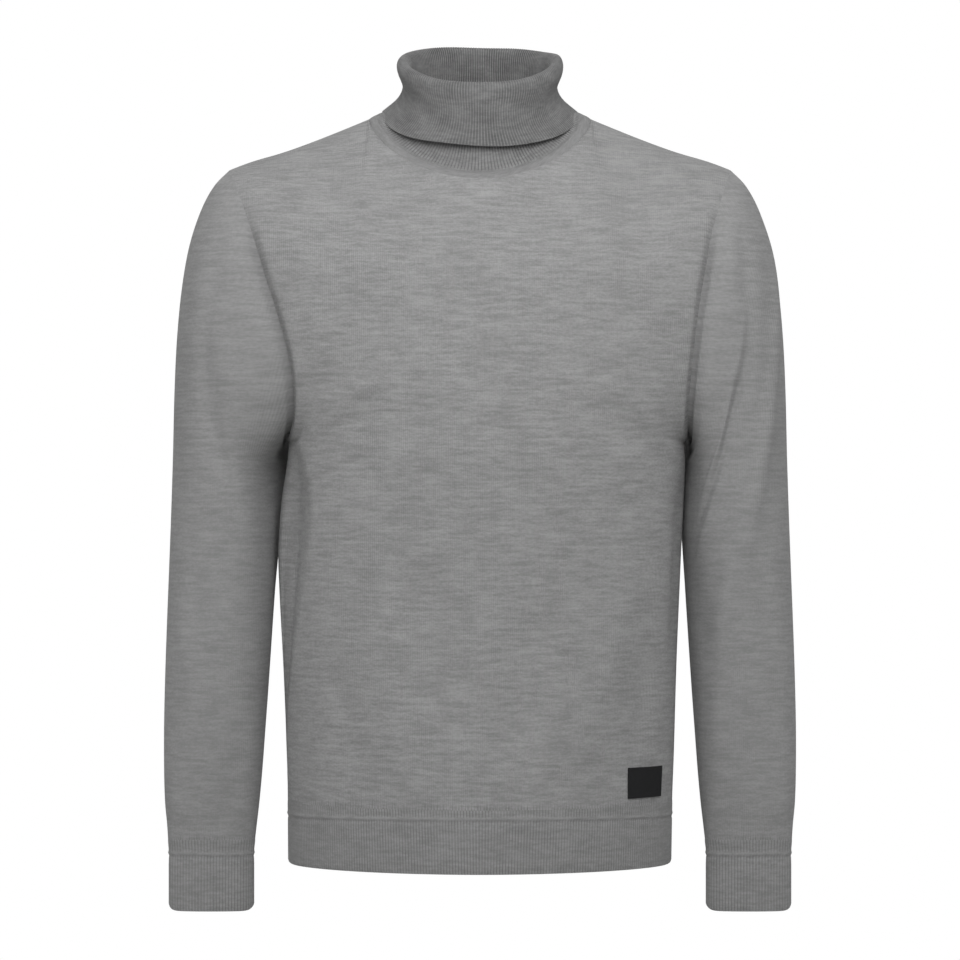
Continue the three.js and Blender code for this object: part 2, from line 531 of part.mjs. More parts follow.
function makeSleeve(way) {
  const frontColumn = way < 0 ? 0 : COLUMNS;
  const backColumn = COLUMNS - frontColumn;
  const owners = [];
  for (let i = topRow; i > armpitRow; i -= 1) owners.push([frontSheet, i, frontColumn]);
  for (let i = armpitRow; i < topRow; i += 1) owners.push([backSheet, i, backColumn]);
  const loop = owners.map(([sheet, i, j]) => sheet.rows[i][j].clone());
  const count = loop.length;
  const lengths = loop.map((point, j) => point.distanceTo(loop[(j + 1) % count]));
  const frontCount = topRow - armpitRow;
  const frontLength = lengths.slice(0, frontCount).reduce((a, b) => a + b, 0);
  const backLength = lengths.slice(frontCount).reduce((a, b) => a + b, 0);
  const angles = [];
  let walked = 0;
  for (let j = 0; j < count; j += 1) {
    const ahead = j < frontCount;
    const share = ahead ? walked / frontLength : 1 + (walked - frontLength) / backLength;
    angles.push(Math.PI * share);
    walked += lengths[j];
  }
  const folds = way < 0 ? SLEEVE_FOLDS.left : SLEEVE_FOLDS.right;
  const rows = SLEEVE_SECTIONS.map((_, ring) =>
    angles.map((angle, j) => {
      const keep = ARMHOLE_FADE[ring] || 0;
      const change = loop[j].clone().sub(sleeveSection(way, 0, angle)).multiplyScalar(keep);
      return sleeveSection(way, ring, angle).add(change);
    }),
  );
  const centre = loop.reduce((sum, point) => sum.add(point), new THREE.Vector3()).divideScalar(count);
  const sheet = makeSheet(rows, true, centre);
  const last = rows.length - 1;
  rows.forEach((row, ring) =>
    row.forEach((point, j) => {
      if (ring > 0 && ring < last) {
        point.addScaledVector(sheet.normals[ring][j], sleeveFold(folds, ring, angles[j] / DEGREE));
      }
    }),
  );
  const folded = makeSheet(rows, true, centre);

  // The armhole: normals point out from the middle of the loop, square to the seam.
  loop.forEach((point, j) => {
    const before = loop[(j + count - 1) % count];
    const after = loop[(j + 1) % count];
    const along = new THREE.Vector3().subVectors(after, before).normalize();
    const normal = new THREE.Vector3().subVectors(point, centre);
    normal.addScaledVector(along, -normal.dot(along));
    normal.x *= 0.15;
    normal.normalize();
    const outwards = new THREE.Vector3(point.x + way * 100, point.y, point.z);
    const across = acrossSeam(before, after, normal, point, outwards);
    folded.normals[0][j].copy(normal);
    folded.moves[0][j].addScaledVector(across, half);
    const [panel, i, column] = owners[j];
    const sharing = [[panel, i, column]];
    if (i === topRow) sharing.push([backSheet, topRow, backColumn]);
    if (i === armpitRow) sharing.push([frontSheet, armpitRow, frontColumn]);
    for (const [sheetOfSeam, row, k] of sharing) {
      sheetOfSeam.normals[row][k].copy(normal);
      sheetOfSeam.moves[row][k].addScaledVector(across, -half);
    }
  });
  folded.rows[last].forEach((_, j) => {
    folded.normals[last][j].z = 0;
    folded.normals[last][j].normalize();
    folded.moves[last][j].z += half;
  });
  return { sheet: folded, angles };
}

// Cuffs
function makeCuff(way, sleeve) {
  const heights = [CUFF_BOTTOM, CUFF_RIDGE - 3, CUFF_RIDGE, CUFF_RIDGE + 3];
  const last = sleeve.sheet.rows.length - 1;
  const middleX = (way * (CUFF_OUTER + CUFF_INNER)) / 2;
  const halfWidth = (CUFF_OUTER - CUFF_INNER) / 2;
  const base = heights.map((z) =>
    sleeve.angles.map((angle) => {
      const c = power(Math.cos(angle), 2 / CUFF_ROUNDNESS);
      const s = power(Math.sin(angle), 2 / CUFF_ROUNDNESS);
      const rise = z === CUFF_BOTTOM ? CUFF_CORNER * Math.abs(c) ** 8 : 0;
      return new THREE.Vector3(middleX + way * halfWidth * c, CUFF_Y - CUFF_DEPTH * s, z + rise);
    }),
  );
  base.push(sleeve.sheet.rows[last].map((point) => point.clone()));
  const rows = base.map((row) => split(row, CUFF_RIB_SPLIT));
  const sheet = makeSheet(rows, true, new THREE.Vector3(middleX, CUFF_Y, CUFF_BOTTOM));
  sheet.raisedOut = ribs(rows, RIB_HEIGHT, [2, 4]);
  sheet.raisedOut[2] = sheet.raisedOut[2].map(() => RIDGE_HEIGHT);
  const top = rows.length - 1;
  sheet.rows[top].forEach((_, j) => {
    const exact = sleeve.sheet.normals[last];
    const first = Math.floor(j / CUFF_RIB_SPLIT);
    const next = exact[(first + 1) % exact.length];
    sheet.normals[top][j].copy(exact[first]).lerp(next, (j % CUFF_RIB_SPLIT) / CUFF_RIB_SPLIT).normalize();
    sheet.moves[top][j].z -= half;
  });
  return sheet;
}

// Neck trim and collar
const neckCount = 2 * NECK_COLUMNS * NECK_RIB_SPLIT;
const neckAngles = Array.from({ length: neckCount }, (_, j) => Math.PI + (2 * Math.PI * j) / neckCount);
const ringOf = (ring) => neckAngles.map((angle) => ringPoint(ring, -angle));

function neckNormal(point, ring, sideUp, frontUp) {
  const c = point.x / ring.half;
  const s = (point.y - SHOULDER_Y) / (point.y < SHOULDER_Y ? ring.front : ring.back);
  const up = mix(frontUp, sideUp, c * c);
  return new THREE.Vector3(c * 0.5, s, up).normalize();
}

const neckLoop = split(loopOf(topRow, SHOULDER_COLUMNS, SHOULDER_COLUMNS + NECK_COLUMNS), NECK_RIB_SPLIT);
const trimRows = [neckLoop, ringOf(TRIM_MIDDLE), ringOf(COLLAR_RINGS[0])];
const collarRows = COLLAR_RINGS.map(ringOf);
const neckInside = new THREE.Vector3(0, SHOULDER_Y, -60);
const trimSheet = makeSheet(trimRows, true, neckInside);
const collarSheet = makeSheet(collarRows, true, neckInside);

function joinNeck() {
  const seam = (row, ring, sideUp, frontUp, j) => {
    const point = row[j];
    const normal = neckNormal(point, ring, sideUp, frontUp);
    const before = row[(j + neckCount - 1) % neckCount];
    const after = row[(j + 1) % neckCount];
    const middle = new THREE.Vector3(0, SHOULDER_Y, point.z + 20);
    return { normal, across: acrossSeam(before, after, normal, point, middle) };
  };
  neckLoop.forEach((point, j) => {
    const outer = seam(neckLoop, NECKLINE, 1.5, 0.6, j);
    trimSheet.normals[0][j].copy(outer.normal);
    trimSheet.moves[0][j].addScaledVector(outer.across, half);
    if (j % NECK_RIB_SPLIT === 0) {
      const k = j / NECK_RIB_SPLIT;
      const sharing = [];
      if (k <= NECK_COLUMNS) sharing.push([frontSheet, SHOULDER_COLUMNS + k]);
      if (k >= NECK_COLUMNS) sharing.push([backSheet, SHOULDER_COLUMNS + k - NECK_COLUMNS]);
      if (k === 0) sharing.push([backSheet, SHOULDER_COLUMNS + NECK_COLUMNS]);
      for (const [sheet, column] of sharing) {
        sheet.normals[topRow][column].copy(outer.normal);
        sheet.moves[topRow][column].addScaledVector(outer.across, -half);
      }
    }
    const inner = seam(trimRows[2], COLLAR_RINGS[0], 1.5, 0.6, j);
    trimSheet.normals[2][j].copy(inner.normal);
    trimSheet.moves[2][j].addScaledVector(inner.across, -half);
    collarSheet.normals[0][j].copy(inner.normal);
    collarSheet.moves[0][j].addScaledVector(inner.across, half);
  });
}

joinPanels();
joinHem();
const sleeveLeft = makeSleeve(-1);
const sleeveRight = makeSleeve(1);
const cuffLeft = makeCuff(-1, sleeveLeft);
const cuffRight = makeCuff(1, sleeveRight);
joinNeck();

trimSheet.raisedOut = trimRows.map((row, i) => row.map(() => (i === 1 ? TRIM_BULGE : 0)));
const lastRing = COLLAR_RINGS.length - 1;
collarSheet.raisedOut = collarRows.map((row, i) =>
  row.map((_, j) => (i > 0 && i <= STAND_RIBBED_RINGS && j % 2 === 0 ? RIB_HEIGHT : 0)),
);
collarSheet.raisedIn = collarRows.map((row, i) =>
  row.map((_, j) => (i >= TURNED_RIBS_FROM && i <= lastRing && j % 2 === 0 ? RIB_HEIGHT : 0)),
);

// The tab lies on the front panel: its points are the panel's own, moved out.
function onPanel(column, row) {
  const j = Math.min(Math.floor(column), COLUMNS - 1);
  const i = Math.min(Math.floor(row), topRow - 1);
  const u = column - j;
  const v = row - i;
  const at = (a, b) => frontSheet.rows[a][b].clone().add(frontSheet.moves[a][b]);
  const point = u > v
    ? at(i, j).multiplyScalar(1 - u).addScaledVector(at(i, j + 1), u - v).addScaledVector(at(i + 1, j + 1), v)
    : at(i, j).multiplyScalar(1 - v).addScaledVector(at(i + 1, j), v - u).addScaledVector(at(i + 1, j + 1), u);
  const normal = frontSheet.normals[i][j].clone().lerp(frontSheet.normals[i][j + 1], u);
  return { point, normal: normal.normalize() };
}

function makeLabel() {
  const columnAtX = (x, row) => {
    let low = COLUMNS / 2;
    let high = COLUMNS;
    for (let k = 0; k < 40; k += 1) {
      const middle = (low + high) / 2;
      if (onPanel(middle, row).point.x < x) low = middle;
      else high = middle;
    }
    return low;
  };
  const rowAtZ = (z) => BODY_ROWS.findIndex((high) => high > z) - 1;
  const rowOf = (z) => {
    const i = rowAtZ(z);
    return i + (z - BODY_ROWS[i]) / (BODY_ROWS[i + 1] - BODY_ROWS[i]);
  };
  const bottom = rowOf(LABEL_TOP - LABEL_HEIGHT);
  const top = rowOf(LABEL_TOP);
  const from = columnAtX(LABEL_FROM_X, bottom);
  let to = from;
  while (onPanel(to, bottom).point.distanceTo(onPanel(from, bottom).point) < LABEL_WIDTH) to += 0.01;
  const lines = (low, high) => {
    const inner = [];
    for (let k = Math.floor(low) + 1; k < high; k += 1) inner.push(k);
    return [low, ...inner, high];
  };
  const places = lines(bottom, top).map((row) => lines(from, to).map((column) => onPanel(column, row)));
  const rows = places.map((row) =>
    row.map(({ point, normal }) => point.addScaledVector(normal, LABEL_LIFT + LABEL_WALL)),
  );
  const sheet = makeSheet(rows, false, new THREE.Vector3(0, 0, LABEL_TOP));
  places.forEach((row, i) => row.forEach(({ normal }, j) => sheet.normals[i][j].copy(normal)));
  return sheet;
}

const greyKnit = fabric("grey_melange_knit", 0x8c8c8b);
const greyRib = fabric("grey_melange_rib", 0x848483);
const greyTrim = fabric("grey_neck_trim", 0x888887);
const darkWeave = fabric("dark_woven_tab", 0x1c1c1e);

const sweater = new THREE.Group();
sweater.name = "turtleneck_sweater";
sweater.add(
  wall("front_panel", frontSheet, BODY_WALL, greyKnit.clone()),
  wall("back_panel", backSheet, BODY_WALL, greyKnit.clone()),
  wall("sleeve_left", sleeveLeft.sheet, BODY_WALL, greyKnit.clone()),
  wall("sleeve_right", sleeveRight.sheet, BODY_WALL, greyKnit.clone()),
  wall("cuff_left", cuffLeft, RIB_WALL, greyRib.clone()),
  wall("cuff_right", cuffRight, RIB_WALL, greyRib.clone()),
  wall("hem_band", hemSheet, RIB_WALL, greyRib.clone()),
  wall("neck_trim", trimSheet, TRIM_WALL, greyTrim.clone()),
  wall("collar", collarSheet, COLLAR_WALL, greyRib.clone()),
  wall("label", makeLabel(), LABEL_WALL, darkWeave),
);

export default sweater;
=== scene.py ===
# %% [markdown]
# # A fine-knit roll neck pullover, standing open as if worn
# Two body panels, two sleeves, two ribbed cuffs, a ribbed hem, a smooth neck strip, a ribbed
# collar that turns over, and a small woven tab. The imported solids are hidden, and each piece
# is drawn as a finer surface on the same form, with real ribs, soft creases and a yarn finish.
# Front is -Y, up is +Z.

import bpy
import numpy as np
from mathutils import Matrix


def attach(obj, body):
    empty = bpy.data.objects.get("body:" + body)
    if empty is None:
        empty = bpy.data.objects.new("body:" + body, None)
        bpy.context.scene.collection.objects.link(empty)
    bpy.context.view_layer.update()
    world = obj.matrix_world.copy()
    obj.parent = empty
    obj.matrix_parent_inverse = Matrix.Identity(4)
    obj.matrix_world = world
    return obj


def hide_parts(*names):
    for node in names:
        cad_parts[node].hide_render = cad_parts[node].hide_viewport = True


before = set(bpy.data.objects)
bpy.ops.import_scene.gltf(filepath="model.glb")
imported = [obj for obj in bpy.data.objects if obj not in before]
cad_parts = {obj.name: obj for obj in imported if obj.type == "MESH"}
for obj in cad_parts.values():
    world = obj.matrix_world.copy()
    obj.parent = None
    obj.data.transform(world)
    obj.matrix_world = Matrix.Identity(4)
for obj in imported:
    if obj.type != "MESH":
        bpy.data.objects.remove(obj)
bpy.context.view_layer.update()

MM = 0.001
print("nodes in the frame:", sorted(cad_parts))


def put(name, data):
    """A new object of that data, linked into the scene."""
    made = bpy.data.objects.new(name, data)
    bpy.context.scene.collection.objects.link(made)
    return made


# %% [markdown]
# ## Camera
# The picture looks straight on at mid height. Hem and rim curve only a little, so the camera is
# 3.6 m back with a long lens, where one picture point is 0.9 mm of cloth.

# %% Camera at the picture's place
CAMERA_BACK, CAMERA_UP, LENS_MM = 3.6, -0.322, 150
camera_data = bpy.data.cameras.new("straight_on")
camera_data.lens = LENS_MM
camera = put("straight_on", camera_data)
camera.location = (0, -CAMERA_BACK, CAMERA_UP)
camera.rotation_euler = (np.pi / 2, 0, 0)
bpy.context.scene.camera = camera
print("camera stands", CAMERA_BACK, "m ahead")

# %% [markdown]
# ## Reading a table as a smooth curve
# Cloth has no corners, so its sizes sit in short tables that are read as curves. A formula on
# whole arrays gives every point of a piece at once.


# %% Curves from tables, and small helpers
def columns(names, rows):
    """A table as a dictionary of named columns."""
    values = np.array(rows, float)
    return {name: values[:, k] for k, name in enumerate(names.split())}


def read(table, column, place):
    """Cubic curve through a column over the first; a knot's slope joins its two neighbours."""
    knots, values = next(iter(table.values())), table[column]
    if knots[0] > knots[-1]:
        knots, values = knots[::-1], values[::-1]
    index = np.arange(len(knots))
    before, after = np.maximum(index - 1, 0), np.minimum(index + 1, len(knots) - 1)
    slopes = (values[after] - values[before]) / (knots[after] - knots[before])
    place = np.clip(place, knots[0], knots[-1])
    i = np.clip(np.searchsorted(knots, place, side="right") - 1, 0, len(knots) - 2)
    step = knots[i + 1] - knots[i]
    t = (place - knots[i]) / step
    t2, t3 = t * t, t * t * t
    ends = values[i] * (2 * t3 - 3 * t2 + 1) + values[i + 1] * (3 * t2 - 2 * t3)
    return ends + step * (slopes[i] * (t3 - 2 * t2 + t) + slopes[i + 1] * (t3 - t2))


def read_all(table, place):
    """Every column but the first, read at the same place."""
    return {column: read(table, column, place) for column in list(table)[1:]}


def mix(a, b, share):
    """The value that lies share of the way from a to b."""
    return a + (b - a) * share


def smooth(share):
    """A soft step from 0 to 1: 3 s^2 - 2 s^3."""
    s = np.clip(share, 0, 1)
    return s * s * (3 - 2 * s)


def power(value, exponent):
    """A power that keeps the sign, which squares off or sharpens an ellipse."""
    return np.sign(value) * np.abs(value) ** exponent


def stack(x, y, z):
    """Three arrays as one array of points."""
    return np.stack(np.broadcast_arrays(x, y, z), axis=-1)


# %% [markdown]
# ## From rows of points to a piece of cloth
# A piece is a grid of points with a normal at each. Its wall is the grid, a second one a
# thickness behind it, and rims that close the edges.


# %% Sheets: grid, normals, measures
def normals_of(points, closed):
    """Unit normals: the cross product of the grid's two directions at each point."""
    if closed:
        across = np.roll(points, -1, axis=1) - np.roll(points, 1, axis=1)
    else:
        across = np.gradient(points, axis=1)
    up = np.gradient(points, axis=0)
    normal = np.cross(across, up)
    return normal / np.maximum(np.linalg.norm(normal, axis=-1, keepdims=True), 1e-9)


def make_sheet(points, closed, inside, rows=None):
    """A sheet whose normals, in its first rows or in all, face away from a point inside it."""
    normal = normals_of(points, closed)
    if np.sum((normal * (points - np.asarray(inside, float)))[:rows]) < 0:
        normal = -normal
    return {"points": points, "normals": normal, "closed": closed}


def walk(points, axis, parts=(0, 1, 2)):
    """Length walked along one axis of the grid, using only the named parts of each step."""
    steps = np.diff(points, axis=axis)[..., list(parts)]
    length = np.cumsum(np.linalg.norm(steps, axis=-1), axis=axis)
    start = np.zeros_like(np.take(length, [0], axis=axis))
    return np.concatenate([start, length], axis=axis)


def walk_round(points):
    """Length walked round a closed row and back to its start, so with one column more."""
    return walk(np.concatenate([points, points[:, :1]], axis=1), 1)


def unit(vectors):
    """The same directions at length 1."""
    return vectors / np.linalg.norm(vectors, axis=-1, keepdims=True)


def share_normals(*edges):
    """Pieces that meet at a seam take the mean of their normals there."""
    mean = unit(sum(sheet["normals"][place] for sheet, place in edges))
    for sheet, place in edges:
        sheet["normals"][place] = mean


def quads(grid):
    """The four corners of each cell of a grid of point numbers."""
    return np.stack([grid[:-1, :-1], grid[:-1, 1:], grid[1:, 1:], grid[1:, :-1]], -1).reshape(-1, 4)


def wall_faces(front, back, closed):
    """Quads of a wall from two grids: both faces, both rims, and both ends if open."""
    both = np.stack([front, back])
    faces = [quads(front), quads(back)[:, ::-1], quads(both[:, 0])[:, ::-1], quads(both[:, -1])]
    if not closed:
        faces += [quads(both[:, :, 0]), quads(both[:, :, -1])[:, ::-1]]
    return np.concatenate(faces)


pieces = {}


def cloth_wall(name, sheet, thickness, across, along, lift=0, lift_inside=0, shade=(1, 1)):
    """A closed wall: the sheet lifted along its normals, its inner copy, and the rims."""
    points, normal, closed = sheet["points"], sheet["normals"], sheet["closed"]
    rows, count = points.shape[:2]
    lift, lift_inside = (np.broadcast_to(out, (rows, count))[..., None] for out in (lift, lift_inside))
    outer = points + normal * lift
    inner = points - normal * (thickness + lift_inside)
    grid = np.arange(rows * count).reshape(rows, count)
    if closed:
        grid = np.concatenate([grid, grid[:, :1]], axis=1)
    faces = wall_faces(grid, grid + rows * count, closed)
    # a tube's yarn coordinates have one column more, so they never run backwards
    yarn_grid = np.arange(grid.size).reshape(grid.shape)
    yarn_faces = wall_faces(yarn_grid, yarn_grid, closed)
    corners = np.concatenate([outer.reshape(-1, 3), inner.reshape(-1, 3)]) * MM
    p, q, r, s = (corners[faces[:, k]] for k in range(4))
    volume = np.sum(p * np.cross(q, r)) + np.sum(p * np.cross(r, s))
    if volume < 0:
        faces, yarn_faces = faces[:, ::-1], yarn_faces[:, ::-1]
    mesh = bpy.data.meshes.new(name)
    mesh.from_pydata(corners, [], faces)
    # flat rims with sharp edges, so that no false line shows where two pieces meet
    mesh.polygons.foreach_set("use_smooth", np.arange(len(faces)) < 2 * (rows - 1) * (grid.shape[1] - 1))
    rim = np.zeros((rows, count), bool)
    rim[[0, -1]] = True
    if not closed:
        rim[:, [0, -1]] = True
    rim = np.tile(rim.ravel(), 2)
    edges = np.empty(2 * len(mesh.edges), np.int32)
    mesh.edges.foreach_get("vertices", edges)
    mesh.edges.foreach_set("use_edge_sharp", rim[edges].reshape(-1, 2).all(axis=1))
    yarn = [np.broadcast_to(values, grid.shape).ravel() for values in (across, along)]
    yarn = np.stack(yarn, -1) * MM
    layer = mesh.uv_layers.new(name="yarn")
    layer.data.foreach_set("uv", yarn[yarn_faces.ravel()].ravel())
    # painted shade: 1 where the colour is left as it is, lower in rib valleys and on the turned collar,
    # where the finish paints it darker
    unshaded_share = np.concatenate([np.broadcast_to(face, (rows, count)).ravel() for face in shade])
    mesh.attributes.new("unshaded_share", "FLOAT", "POINT").data.foreach_set("value", unshaded_share.astype(np.float32))
    mesh.validate()
    pieces[name] = put(name, mesh)
    size = np.ptp(corners, axis=0) / MM
    print(f"{name}: {2 * len(faces)} triangles, {size[0]:.0f} x {size[1]:.0f} x {size[2]:.0f} mm")


# %% [markdown]
# ## Sizes of the garment
# Heights run down from the base of the neck. The body's sections grow squarer towards the chest,
# and each armhole is a curve in space that both a panel and a sleeve share.

# %% Heights and body sections
HEM_BOTTOM, HEM_RIDGE, HEM_SEAM, ARMPIT = -666, -621, -610, -290
TIP_X, TIP_Z, SHOULDER_Y, SHOULDER_SAG = 225.5, -43.5, 4, 1.8
# the shoulder's top stands up a little, most at this share of the way to its tip
PAD_HEIGHT, PAD_AT, PAD_WIDTH = 1.5, 0.84, 0.17
BODY_WALL, RIB_WALL, COLLAR_WALL, TRIM_WALL = 1.6, 1.8, 1.6, 2.0
# the neckline takes this share of a panel's columns
NECK_SHARE = 14 / 26
# exponents of the superellipses, as 2 over their squareness; 2 would be a plain ellipse
YOKE_SQUARE = 2.4
YOKE_BEND, TUBE_BEND = 2 / YOKE_SQUARE, 2 / 2.5
# how far below its top edge the cloth rolls over, and how round the roll is at the neckline
SHOULDER_ROLL, NECK_ROLL, NECK_ROUNDNESS = 95, 150, 0.55

BODY = columns("z left right front back square", [
    (-666, 172.5, 172, 117, 111, 1.85), (-610, 173, 173, 116, 110, 1.9),
    (-565, 174.6, 174.6, 113, 106, 1.95), (-493, 177, 176.6, 109, 99, 2.1),
    (-421, 180.5, 179.5, 109, 96, 2.2), (-385, 181.4, 181, 111, 97, 2.25),
    (-342, 178.6, 183, 114, 101, 2.3), (-308, 173.6, 184.3, 117, 106, 2.37),
    (-290, 172, 184, 118, 108, 2.4), (-220, 172, 184, 117, 110, 2.4),
    (-150, 172, 184, 111, 108, 2.4), (-95, 172, 184, 104, 102, 2.4),
    (-45, 172, 184, 97, 92, 2.4), (10, 172, 184, 90, 80, 2.4),
])
ARMHOLE = {
    "front": columns("up z left right depth", [
        (0, -290, 172, 184, 0), (0.06, -287, 170.6, 184.3, 30), (0.15, -272, 167.5, 184.8, 54),
        (0.28, -245, 167, 186.8, 69), (0.42, -212, 171, 190, 76), (0.57, -174, 181, 194.6, 77),
        (0.72, -134, 193.5, 201, 73), (0.85, -96, 205, 208, 69), (0.945, -64, 216, 217.5, 65),
        (1, TIP_Z, TIP_X, TIP_X, 62),
    ]),
    "back": columns("up z left right depth", [
        (0, -290, 172, 184, 0), (0.06, -287, 171, 184.3, 28), (0.15, -271, 170, 185, 50),
        (0.28, -242, 172, 187, 65), (0.42, -208, 178, 190.5, 73), (0.57, -170, 187, 195.5, 75),
        (0.72, -131, 197, 202, 72), (0.85, -94, 207, 209, 68), (0.945, -63, 217, 218, 63),
        (1, TIP_Z, TIP_X, TIP_X, 60),
    ]),
}

# %% [markdown]
# ## Folds and creases
# Knitted wool hangs in a few soft troughs and ridges. Each is a line with its own depth and width,
# put where the cloth is slack: at the armpits, over the belly, and where an elbow has bent.

# %% Folds of the body, and their depth
# (from angle, from height, to angle, to height, depth out, width in degrees); 0 is the centre
BODY_FOLDS = {
    "front": [
        (-58, -288, -22, -232, 3, 6), (62, -296, 30, -238, 3, 6),
        (-17, -400, -15, -530, -4, 7), (14, -450, 8, -560, -4, 6), (44, -420, 30, -560, 3, 7),
        (76, -330, 78, -470, -4, 7),
        (-52, -276, -12, -262, -1.5, 5), (-60, -330, -30, -300, -1.2, 4),
        (-30, -470, -22, -590, 1.8, 5), (-4, -500, -6, -600, 2.0, 5), (24, -520, 16, -596, 2.0, 4),
        (56, -282, 24, -214, -1.3, 4), (58, -340, 34, -310, -1.0, 4), (58, -480, 50, -590, -1.8, 6),
        (-46, -480, -40, -585, -1.6, 5), (-20, -120, 18, -128, -0.8, 5),
    ],
    "back": [
        (-60, -292, -26, -250, 3, 7), (58, -294, 24, -262, 3, 7), (-38, -350, -27, -570, -6, 9),
        (41, -370, 33, -560, -5, 8), (4, -440, 1, -580, 4, 9), (70, -330, 66, -520, -5, 8),
        (-54, -268, -14, -222, -1.6, 5), (52, -266, 16, -206, -1.4, 5),
        (-16, -430, -12, -590, -2.2, 6), (18, -470, 14, -585, -2.0, 5),
        (-8, -150, 12, -190, -1.0, 6), (-62, -400, -54, -590, 2.0, 6), (56, -430, 50, -592, 1.6, 6),
    ],
}

# The left flank falls back behind a soft edge, which lies across the panel at this share
FLANK = columns("z edge drop", [
    (-606, -0.95, 0), (-570, -0.92, 8), (-520, -0.845, 16), (-475, -0.75, 22), (-430, -0.667, 26),
    (-390, -0.61, 27), (-353, -0.589, 26), (-320, -0.63, 18), (-290, -0.73, 7), (-262, -0.82, 0),
])
# the drop is this many times the solid's, up to a share of the panel's depth there
FLANK_DEEPER, FLANK_LIMIT = 1.3, 0.6
FLANK_FALL, FLANK_BACK = 0.25, 0.15


def flank_drop(side, s, z):
    """How far the front's left flank lies behind its edge: a quick fall, then a slow way back."""
    edge = read(FLANK, "edge", z)
    behind = np.clip((edge - s) / (edge + 1), 0, 1)
    fall = smooth(behind / FLANK_FALL) * (1 - smooth((behind - FLANK_BACK) / (1 - FLANK_BACK)))
    return read(FLANK, "drop", z) * fall * (side == "front")


def bell(distance, width):
    """A bell curve: e to the power of less the square of distance over width."""
    return np.exp(-((distance / width) ** 2))


def fold_sum(folds, turn, place, past, fade):
    """Sum of folds: each is its depth times a bell curve across it, faded in and out along it."""
    total = np.zeros(np.broadcast(turn, place).shape)
    for turn_a, place_a, turn_b, place_b, depth, width in folds:
        along = (place - place_a) / (place_b - place_a)
        centre = mix(turn_a, turn_b, np.clip(along, -0.5, 1.5))
        faded = smooth((along + past) / fade) * smooth((1 + past - along) / fade)
        total = total + depth * faded * bell(turn - centre, width)
    return total


def body_fold(side, turn, z):
    """The folds of a panel, which die out in the last 9 degrees before its side seams."""
    return fold_sum(BODY_FOLDS[side], turn, z, 0.25, 0.45) * smooth((90 - np.abs(turn)) / 9)


# %% [markdown]
# ## Body panels
# Below the armpits a panel is half of a superellipse. Above them its rows bend up to the shoulder
# seam and down to the neckline, and the cloth rolls over. One formula makes both panels, so
# their seams meet.


# %% Surface of a panel
def body_point(side, s, z):
    """Below the armpits: x and y are powers of sine and cosine of a quarter turn times s."""
    turn = s * np.pi / 2
    half = np.where(s < 0, read(BODY, "left", z), read(BODY, "right", z))
    bend = 2 / read(BODY, "square", z)
    fold = body_fold(side, s * 90, z)
    x = half * power(np.sin(turn), bend) + fold * np.sin(turn)
    y = read(BODY, side, z) * power(np.maximum(np.cos(turn), 0), bend) + fold * np.cos(turn)
    y = y - np.minimum(FLANK_DEEPER * flank_drop(side, s, z), FLANK_LIMIT * y)
    return stack(x, -y if side == "front" else y, z)


def ring_point(ring, angle):
    """A neck ring: an ellipse in plan whose height falls from the sides to the front and back."""
    s = np.sin(angle)
    ahead = (ring["frontZ"] - ring["side"]) * np.abs(s) ** ring["fall"]
    behind = (ring["backZ"] - ring["side"]) * np.abs(s)
    x = ring["half"] * np.cos(angle)
    y = SHOULDER_Y - np.where(s > 0, ring["front"], ring["back"]) * s
    return stack(x, y, ring["side"] + np.where(s > 0, ahead, behind) - ring["drop"] * x)


RING_NAMES = "half side front frontZ back backZ fall drop"
NECKLINE = dict(zip(RING_NAMES.split(), (100, 3, 80, -56, 61, 8, 1.3, 0)))


def top_point(side, s):
    """A panel's top edge: the neckline in the middle, a slightly sagging shoulder at each end."""
    share = np.clip((np.abs(s) - NECK_SHARE) / (1 - NECK_SHARE), 0, 1)
    angle = np.pi / 2 * (1 - np.clip(s / NECK_SHARE, -1, 1))
    neck = ring_point(NECKLINE, angle if side == "front" else -angle)
    x = np.sign(s) * mix(NECKLINE["half"], TIP_X, share)
    z = mix(NECKLINE["side"], TIP_Z, share) - SHOULDER_SAG * np.sin(np.pi * share)
    z = z + PAD_HEIGHT * bell(share - PAD_AT, PAD_WIDTH)
    return np.where((np.abs(s) > NECK_SHARE)[..., None], stack(x, SHOULDER_Y, z), neck)


